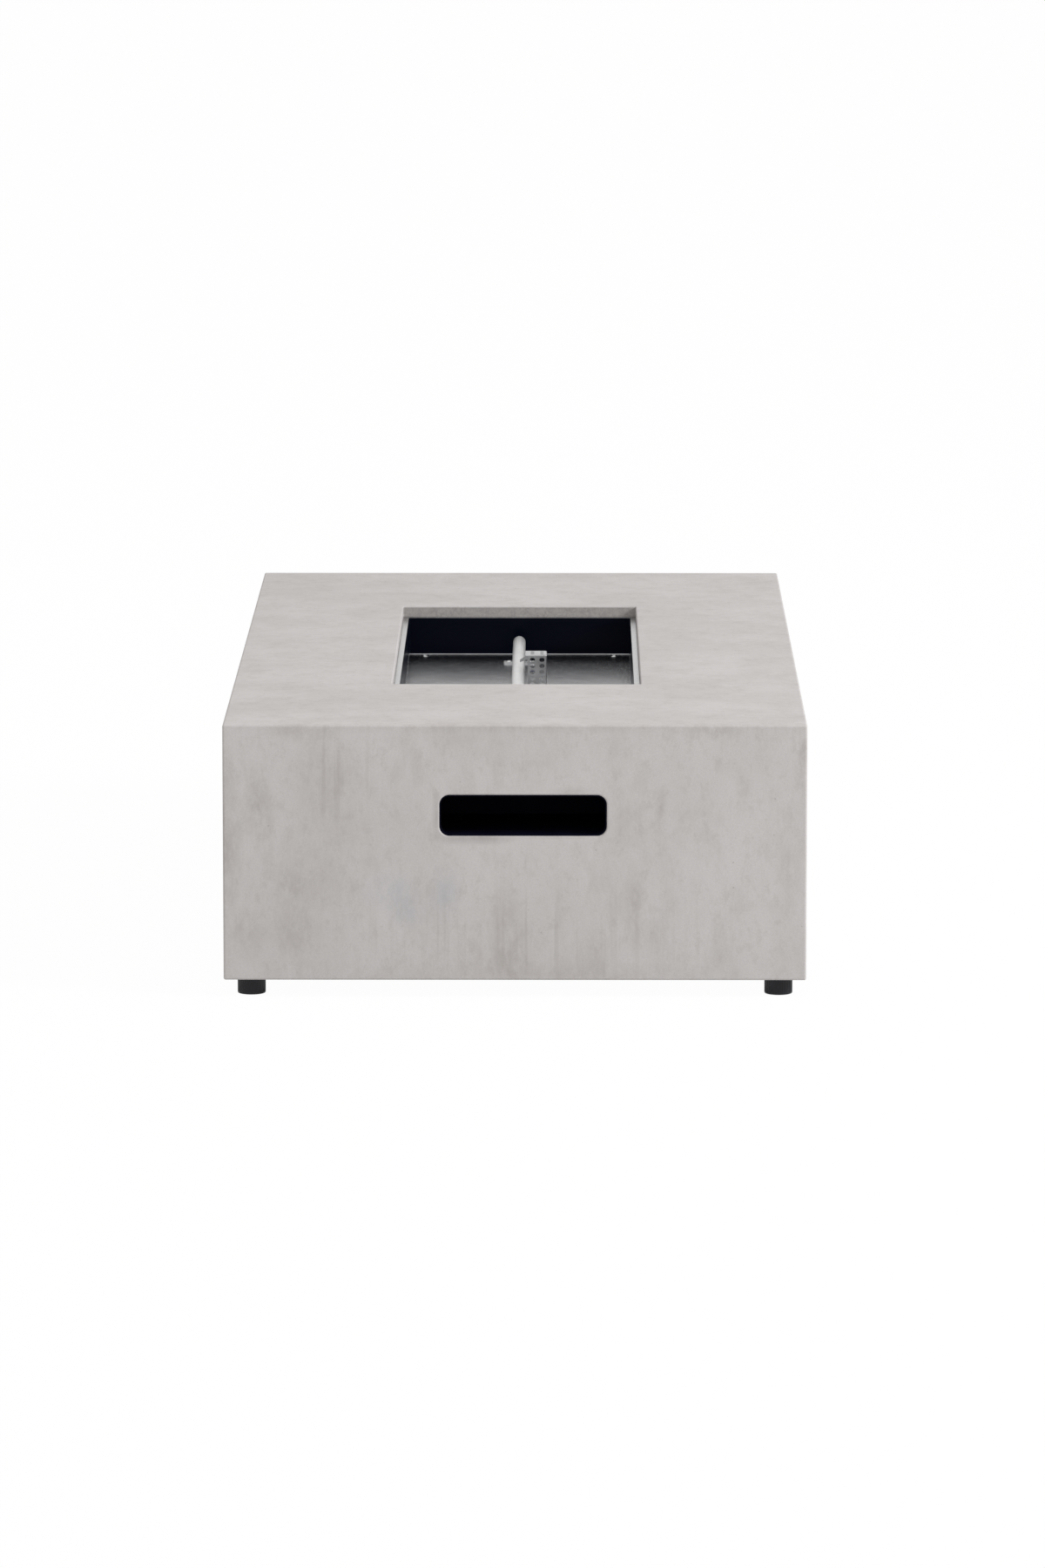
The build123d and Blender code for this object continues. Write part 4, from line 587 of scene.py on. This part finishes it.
def spots(node, reach, turn="up"):
    """One node's box, and the axes of its up to four equal pieces, found from that box and the pieces' reach
    along each cross axis."""
    low, high = (np.array(corner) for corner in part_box(node))
    first, second = (0, 1) if turn in ("up", "down") else (0, 2)
    found = set()
    for a in (low[first] + reach[0], high[first] - reach[0]):
        for b in (low[second] + reach[1], high[second] - reach[1]):
            found.add((round(float(a), 5), round(float(b), 5)))
    return low, high, sorted(found)


# ---------------------------------------------------------------- fasteners and fittings
# Node, across the head, head's height, across the shank, thread pitch, way that the head faces
SCREWS = (
    ("pan_corner_screws", 0.010, 0.0022, 0.005, 0.0008, "up"),
    ("saddle_screws", 0.008, 0.0018, 0.004, 0.0007, "up"),
    ("guard_screws", 0.0056, 0.0018, 0.003, 0.0005, "up"),
    ("bay_screws", 0.008, 0.0018, 0.004, 0.0007, "back"),
    ("valve_screws", 0.008, 0.0018, 0.004, 0.0007, "front"),
)
SCREW_THREAD = 0.009  # the longest
RIM = 0.3  # height of a head's rim, as a share of the head's
CROSS_HALF_WIDTH = 0.15  # of a cross recess's bars, as a share of the head's radius, as the next three are
CROSS_SIDE_WALL = 0.07
CROSS_REACH = 0.56
CROSS_END_WALL = 0.08
CROSS_DEPTH = 0.55  # as a share of the head's height
SCREW_AROUND = 40  # points round a screw
DOME_RINGS = 22


def cross_screws(node, head, head_height, shank, pitch, turn):
    """Domed screws with a cross recess, threaded at the tip. The head's height falls from its middle as one
    minus the cube of the share of its radius, less the recess: two crossed bars with soft walls."""
    low, high, found = spots(node, (head / 2, head / 2), turn)
    axis = 2 if turn == "up" else 1
    length = high[axis] - low[axis] - head_height
    seat = low[axis] + head_height if turn == "front" else high[axis] - head_height
    places = [(a, b, seat) if turn == "up" else (a, seat, b) for a, b in found]
    threaded = min(SCREW_THREAD, length * 0.7)
    plain = shank / 2 - pitch * 0.05
    heights, radii = thread(-length, threaded, shank / 2, pitch, SCREW_AROUND)
    heights += [threaded - length, 0, 0, head_height * 0.1, head_height * RIM]
    radii += [plain, plain, head * 0.48, head * 0.5, head * 0.5]
    body = rings_about(heights, radii, SCREW_AROUND)
    share = np.linspace(0.98, 0.02, DOME_RINGS)
    dome = rings_about(np.zeros(DOME_RINGS), share * head / 2, SCREW_AROUND)
    across = np.abs(dome[..., :2]) / (head / 2)
    bar = np.clip((CROSS_HALF_WIDTH - across.min(-1)) / CROSS_SIDE_WALL + 0.5, 0, 1)
    reach = np.clip((CROSS_REACH - across.max(-1)) / CROSS_END_WALL + 0.5, 0, 1)
    crown = (1 - RIM) * (1 - share[:, None] ** 3)
    dome[..., 2] = head_height * (RIM + crown - CROSS_DEPTH * bar * reach)
    piece = skin(f"cross_head_{node}", placed(np.concatenate([body, dome]), places, turn))
    stand_for(piece, "table", node)


# Node, across the flats, bore, height, way that the nut faces
NUTS = (
    ("shield_nuts", 0.008, 0.0052, 0.004, "up"),
    ("feed_locknut", 0.022, 0.0141, 0.005, "up"),
    ("igniter_lock_ring", 0.027, 0.0221, 0.004, "back"),
    ("thermocouple_nut", 0.010, 0.0032, 0.009, "back"),
)
NUT_AROUND = 48  # points round a nut


def nut_rings(flats, bore_radius, height):
    """A nut as a looped profile: bore, lower face, flats, upper face. Its corners are cut back at both faces
    to the circle between the flats."""
    wide = hexagon(flats, NUT_AROUND)
    trimmed = np.minimum(wide, flats * 0.49)
    middle = np.minimum(wide, flats * 0.54)
    ease = flats * 0.045
    heights = (0, 0, ease * 0.5, ease, height - ease, height - ease * 0.5, height, height)
    radii = (bore_radius, trimmed, middle, wide, wide, middle, trimmed, bore_radius)
    return rings_about(heights, radii, NUT_AROUND)


def nuts(node, flats, bore, height, turn):
    """Hexagon nuts in the places of one node's solids."""
    low, _, found = spots(node, (flats / math.sqrt(3), flats / 2), turn)
    places = [(a, b, low[2]) if turn == "up" else (a, low[1], b) for a, b in found]
    rings = nut_rings(flats, bore / 2, height)
    stand_for(skin(f"hexagon_{node}", placed(rings, places, turn), looped=True), "table", node)


def flare_nuts():
    """The two nuts of the gas connector: a hexagon, then a round neck on the side of the connector."""
    flats, length, bore_radius, neck = 0.017, 0.018, 0.0061, 0.0076
    hexagon_height = length * 0.62
    low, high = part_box("flare_nuts")
    corner = flats / math.sqrt(3)
    hexagon_part = nut_rings(flats, bore_radius, hexagon_height)[:-1]
    heights = (hexagon_height, length * 0.66, length * 0.96, length, length)
    neck_part = rings_about(heights, (neck * 0.94, neck, neck, neck * 0.9, bore_radius), NUT_AROUND)
    rings = np.concatenate([hexagon_part, neck_part])
    valve_end = placed(rings, [(high.x - corner, low.y, high.z - flats / 2)], "back")
    burner_end = placed(rings, [(low.x + corner, high.y, low.z + flats / 2)], "front")
    stand_for(skin("connector_nuts", valve_end + burner_end, looped=True), "table", "flare_nuts")


def gas_inlet():
    """Inlet fitting: hexagon, thread and the cone that seals, with its bore left open."""
    flats, hexagon_height, outer, bore_radius, pitch = 0.019, 0.008, 0.0159, 0.0025, 0.0018
    cone, relief = 0.002, 0.001
    low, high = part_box("inlet_fitting")
    length = high.z - low.z
    hexagon_part = nut_rings(flats, bore_radius, hexagon_height)[:-1]
    neck = outer / 2 - 0.0011
    start = hexagon_height + relief
    heights, radii = thread(start, length - start - cone, outer / 2, pitch, NUT_AROUND)
    heights = [hexagon_height, *heights, length - cone, length, length, length - cone]
    radii = [neck, *radii, neck, neck - cone * 0.7, bore_radius + 0.0006, bore_radius]
    rings = np.concatenate([hexagon_part, rings_about(heights, radii, NUT_AROUND)])
    place = ((low.x + high.x) / 2, (low.y + high.y) / 2, high.z)
    stand_for(skin("threaded_inlet", placed(rings, [place], "down"), looped=True), "table", "inlet_fitting")


CONNECTOR_ROUTE = (  # from the valve to the orifice
    (0.044, -0.4998, 0.2459),
    (0.044, -0.4678, 0.2459),
    (0.028, -0.3958, 0.2144),
    (0, -0.199, 0.2104),
    (0, -0.099, 0.2104),
)
RIDGE_PITCH = 0.0034
RIDGE_HEIGHT = 0.0006  # to either side of the middle radius
CONNECTOR_RADIUS = 0.0054
CONNECTOR_PLAIN = 0.011  # inside its nuts, at both ends
CONNECTOR_RUN_IN = 0.004  # over which the ridges grow from there
CONNECTOR_AROUND = 20
RIDGE_RINGS = 6


def corrugated_connector():
    """Corrugated gas connector: along its middle line the radius swings as a cosine, once for each ridge,
    and stays plain where it runs into its nuts."""
    curve = bpy.data.curves.new("connector_line", "CURVE")
    curve.dimensions = "3D"
    line = curve.splines.new("NURBS")
    line.points.add(len(CONNECTOR_ROUTE) - 1)
    line.points.foreach_set("co", np.array([(*point, 1) for point in CONNECTOR_ROUTE]).ravel())
    line.order_u = 3
    line.use_endpoint_u = True
    line.resolution_u = 40
    holder = bpy.data.objects.new("connector_line", curve)
    traced = bpy.data.meshes.new_from_object(holder)
    points = np.array([vertex.co for vertex in traced.vertices])
    bpy.data.objects.remove(holder)
    bpy.data.curves.remove(curve)
    bpy.data.meshes.remove(traced)
    run = np.concatenate([[0], np.cumsum(np.linalg.norm(np.diff(points, axis=0), axis=1))])
    along = np.arange(0, run[-1], RIDGE_PITCH / RIDGE_RINGS)
    middle = np.stack([np.interp(along, run, points[:, axis]) for axis in range(3)], axis=-1)
    heading = np.gradient(middle, axis=0)
    heading /= np.linalg.norm(heading, axis=1, keepdims=True)
    side = np.cross(heading, (0, 0, 1))
    side /= np.linalg.norm(side, axis=1, keepdims=True)
    over = np.cross(side, heading)
    free = np.clip((np.minimum(along, run[-1] - along) - CONNECTOR_PLAIN) / CONNECTOR_RUN_IN, 0, 1)
    radius = CONNECTOR_RADIUS + RIDGE_HEIGHT * free * np.cos(2 * np.pi * along / RIDGE_PITCH)
    angle = np.linspace(0, 2 * np.pi, CONNECTOR_AROUND, endpoint=False)
    ring = np.cos(angle)[None, :, None] * side[:, None] + np.sin(angle)[None, :, None] * over[:, None]
    rings = middle[:, None] + radius[:, None, None] * ring[:, ::-1]
    stand_for(skin("corrugated_connector", [rings]), "table", "flex_connector")


def ribbed_insulator():
    """Spark electrode's insulator: plain through the bracket, a collar that rests on it, and above the collar
    shallow ribs in a cosine up to a tapered mouth."""
    low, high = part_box("spark_electrode")
    bracket_low, bracket_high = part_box("sensor_bracket")
    radius, collar, edge = 0.0035, (high.x - low.x) / 2, 0.00005
    rib_depth, rib_pitch, mouth = 0.00035, 0.0034, 0.003
    lip, taper, around = 0.001, 0.8, 36
    length = high.z - low.z
    seat = bracket_high.z - low.z
    shoulder = seat + bracket_high.z - bracket_low.z
    edges = [seat, seat + edge, shoulder - edge, shoulder]
    heights = np.unique(np.concatenate([np.linspace(0, length, 90), edges]))
    ribbed = (heights > shoulder) & (heights < length - mouth)
    radii = radius - ribbed * rib_depth * (1 - np.cos(2 * np.pi * (heights - shoulder) / rib_pitch))
    radii = np.minimum(radii, radius - lip + (length - heights) * taper)
    radii = np.where((heights > seat) & (heights < shoulder), collar, radii)
    place = ((low.x + high.x) / 2, (low.y + high.y) / 2, low.z)
    rings = placed(rings_about(heights, radii, around), [place])
    stand_for(skin("ribbed_insulator", rings), "table", "spark_electrode")


FLUTES = 40
FLUTE_DEPTH = 0.0006
STUD_PITCH = 0.0015
STUD_AROUND = 24


def levelling_foot(corner):
    """A pad with shallow upright flutes all round for a hand to turn it by, and its threaded stud. A flute's
    depth follows a cosine round the pad, raised to a power that narrows the ridges."""
    body = f"foot_{corner}"
    node = f"foot_pad_{corner}"
    low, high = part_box(node)
    middle_x, middle_y = (low.x + high.x) / 2, (low.y + high.y) / 2
    radius, height, around = (high.x - low.x) / 2, high.z - low.z, 6 * FLUTES
    angle = np.linspace(0, 2 * np.pi, around, endpoint=False)
    fluted = radius - FLUTE_DEPTH * (0.5 - 0.5 * np.cos(FLUTES * angle)) ** 0.7
    # Height and radius of each ring, from the hollow in the sole to the hole for the stud
    profile = (
        (0.0015, 0.0118), (0, 0.012), (0, radius - 0.0012), (0.0003, radius - 0.0004), (0.0012, radius),
        (0.0018, radius), (0.0028, fluted), (height - 0.0018, fluted), (height - 0.0009, radius),
        (height - 0.0004, radius), (height, radius - 0.0004), (height, 0.0052),
    )
    rings = placed(rings_about(*zip(*profile), around), [(middle_x, middle_y, low.z)])
    stand_for(skin(f"fluted_pad_{corner}", rings), body, node)
    node = f"foot_stud_{corner}"
    low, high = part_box(node)
    heights, radii = thread(0, high.z - low.z, (high.x - low.x) / 2, STUD_PITCH, STUD_AROUND)
    rings = placed(rings_about(heights, radii, STUD_AROUND), [(middle_x, middle_y, low.z)])
    stand_for(skin(f"threaded_stud_{corner}", rings), body, node)


PAINT = 0.00012  # thickness
LETTER_SIZE = 0.0052
WORD_OFFSET = 0.0222  # of a word's middle from the knob's axis
TICK_FROM = 0.0195  # from the knob's axis
TICK_TO = 0.0235
TICK_HALF_WIDTH = 0.0004
POINTER_HALF_WIDTH = 0.0007


def dial_scale(axis_x, axis_z, face_y):
    """Ticks on the dial plate: one block turned about the knob's axis, every ten degrees on both sides."""
    tick = block((-TICK_HALF_WIDTH, face_y - PAINT, TICK_FROM), (TICK_HALF_WIDTH, face_y, TICK_TO))
    x, y, z = tick[..., 0], tick[..., 1], tick[..., 2]
    parts = []
    for degrees in [*range(35, 75, 10), *range(115, 155, 10)]:
        lean = math.radians(degrees)
        turned_x = x * math.cos(lean) - z * math.sin(lean)
        turned_z = x * math.sin(lean) + z * math.cos(lean)
        parts.append(np.stack([turned_x, y, turned_z], axis=-1) + np.array((axis_x, 0, axis_z)))
    return skin("dial_scale", parts)


def dial_word(word, place):
    """A word as a flat mesh that faces the control end, with its middle at the place."""
    text = bpy.data.curves.new(f"word_{word}", "FONT")
    text.body = word
    text.size = LETTER_SIZE
    text.extrude = PAINT / 2
    text.align_x = "CENTER"
    text.align_y = "CENTER"
    holder = bpy.data.objects.new(f"word_{word}", text)
    mesh = bpy.data.meshes.new_from_object(holder)
    bpy.data.objects.remove(holder)
    bpy.data.curves.remove(text)
    points = np.array([vertex.co for vertex in mesh.vertices]) @ np.array(TURNS["front"], float).T
    mesh.vertices.foreach_set("co", (points + place).ravel())
    piece = bpy.data.objects.new(f"dial_word_{word.lower()}", mesh)
    bpy.context.scene.collection.objects.link(piece)
    return piece


def painted_marks():
    """White marks: OFF and ON and a scale of ticks on the dial plate, and the strip in the knob's groove."""
    dial_low, dial_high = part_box("dial_plate")
    axis_x, axis_z = (dial_low.x + dial_high.x) / 2, (dial_low.z + dial_high.z) / 2
    marks = [(dial_scale(axis_x, axis_z, dial_low.y), "table")]
    for word, above in (("OFF", WORD_OFFSET), ("ON", -WORD_OFFSET)):
        marks.append((dial_word(word, (axis_x, dial_low.y - PAINT / 2, axis_z + above)), "table"))
    groove_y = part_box("control_knob")[0].y + 0.001
    strip = block((axis_x - POINTER_HALF_WIDTH, groove_y - 0.0004, axis_z + 0.0019),
                  (axis_x + POINTER_HALF_WIDTH, groove_y + 0.0001, axis_z + 0.0121))
    marks.append((skin("knob_pointer", [strip]), "control_knob"))
    white_paint = moulded("white_paint", (0.8, 0.8, 0.78), 0.5)
    for piece, body in marks:
        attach(piece, body)
        dress(white_paint, piece.name)


# ---------------------------------------------------------------- stage, light and camera
AMBIENT = (0.69, 0.68, 0.675)
KEY_COLOUR = (0.96, 0.98, 1.0)
KEY_POWER = 440.0
KEY_PLACE = (6.55, -2.7, 4.1)
KEY_SIZE = 2.6
FLOOR_SIDE = 60.0
FLOOR_GREY = 0.74  # for the light that it throws back
FLOOR_WHITE = 0.95  # as it is seen
FLOOR_GLOW = 0.975  # share of the seen floor that glows white; the rest takes the shadow


def seen_rays(tree):
    """1 for camera, glossy and transmission rays, 0 for the rays that carry light to matt surfaces."""
    paths = tree.nodes.new("ShaderNodeLightPath")
    seen = math_node(tree, "MAXIMUM", paths.outputs["Is Camera Ray"], paths.outputs["Is Glossy Ray"])
    return math_node(tree, "MAXIMUM", seen, paths.outputs["Is Transmission Ray"])


def white_stage():
    """A pale floor that is seen as white and keeps a faint shadow of the table. From below it is clear."""
    mesh = bpy.data.meshes.new("floor")
    half = FLOOR_SIDE / 2
    corners = [(-half, -half, 0), (half, -half, 0), (half, half, 0), (-half, half, 0)]
    mesh.from_pydata(corners, [], [(0, 1, 2, 3)])
    floor = bpy.data.objects.new("floor", mesh)
    bpy.context.scene.collection.objects.link(floor)
    material = bpy.data.materials.new("floor")
    material.use_nodes = True
    tree = material.node_tree
    tree.nodes.clear()
    output = tree.nodes.new("ShaderNodeOutputMaterial")
    matt = tree.nodes.new("ShaderNodeBsdfDiffuse")
    seen = seen_rays(tree)
    feed(tree, matt.inputs["Color"], blend_colours(tree, seen, (FLOOR_GREY,) * 3, (FLOOR_WHITE,) * 3))
    glow = tree.nodes.new("ShaderNodeEmission")
    glow.inputs["Color"].default_value = (1, 1, 1, 1)
    lit = tree.nodes.new("ShaderNodeMixShader")
    feed(tree, lit.inputs["Fac"], times(tree, seen, FLOOR_GLOW))
    tree.links.new(matt.outputs[0], lit.inputs[1])
    tree.links.new(glow.outputs[0], lit.inputs[2])
    clear = tree.nodes.new("ShaderNodeBsdfTransparent")
    sides = tree.nodes.new("ShaderNodeMixShader")
    geometry = tree.nodes.new("ShaderNodeNewGeometry")
    tree.links.new(geometry.outputs["Backfacing"], sides.inputs["Fac"])
    tree.links.new(lit.outputs[0], sides.inputs[1])
    tree.links.new(clear.outputs[0], sides.inputs[2])
    tree.links.new(sides.outputs[0], output.inputs["Surface"])
    mesh.materials.append(material)


def studio_light():
    """An even pale surround and one large soft lamp to the right, above and a little in front."""
    world = bpy.data.worlds.new("studio")
    bpy.context.scene.world = world
    world.use_nodes = True
    tree = world.node_tree
    background = tree.nodes["Background"]
    feed(tree, background.inputs["Color"], blend_colours(tree, seen_rays(tree), AMBIENT, (1, 1, 1)))
    lamp = bpy.data.lights.new("key", "AREA")
    lamp.shape = "DISK"
    lamp.size = KEY_SIZE
    lamp.energy = KEY_POWER
    lamp.color = KEY_COLOUR
    key = bpy.data.objects.new("key", lamp)
    bpy.context.scene.collection.objects.link(key)
    key.location = KEY_PLACE
    aim = Vector((0, 0, top_z)) - key.location
    key.rotation_euler = aim.to_track_quat("-Z", "Y").to_euler()


CAMERA_PLACE = (0.05825, -10.4385, 1.7984)
CAMERA_TURN = math.radians(-0.288)
CAMERA_TILT = math.radians(8.966)
CAMERA_LENS = 186.05
CAMERA_SENSOR = 36
CAMERA_REACH = 200


def studio_camera():
    """A long lens at the control end, a little above the table, looking slightly down."""
    camera = bpy.data.objects.new("camera", bpy.data.cameras.new("camera"))
    bpy.context.scene.collection.objects.link(camera)
    camera.data.sensor_width = CAMERA_SENSOR
    camera.data.lens = CAMERA_LENS
    camera.data.clip_end = CAMERA_REACH
    camera.location = CAMERA_PLACE
    level = math.cos(CAMERA_TILT)
    forward = Vector((math.sin(CAMERA_TURN) * level, math.cos(CAMERA_TURN) * level, -math.sin(CAMERA_TILT)))
    camera.rotation_euler = forward.to_track_quat("-Z", "Y").to_euler()
    bpy.context.scene.camera = camera


dress_cad_nodes()
for screw in SCREWS:
    cross_screws(*screw)
for nut in NUTS:
    nuts(*nut)
flare_nuts()
gas_inlet()
corrugated_connector()
ribbed_insulator()
for corner in FEET:
    levelling_foot(corner)
painted_marks()
white_stage()
studio_light()
studio_camera()
bpy.context.scene.view_settings.view_transform = "Standard"
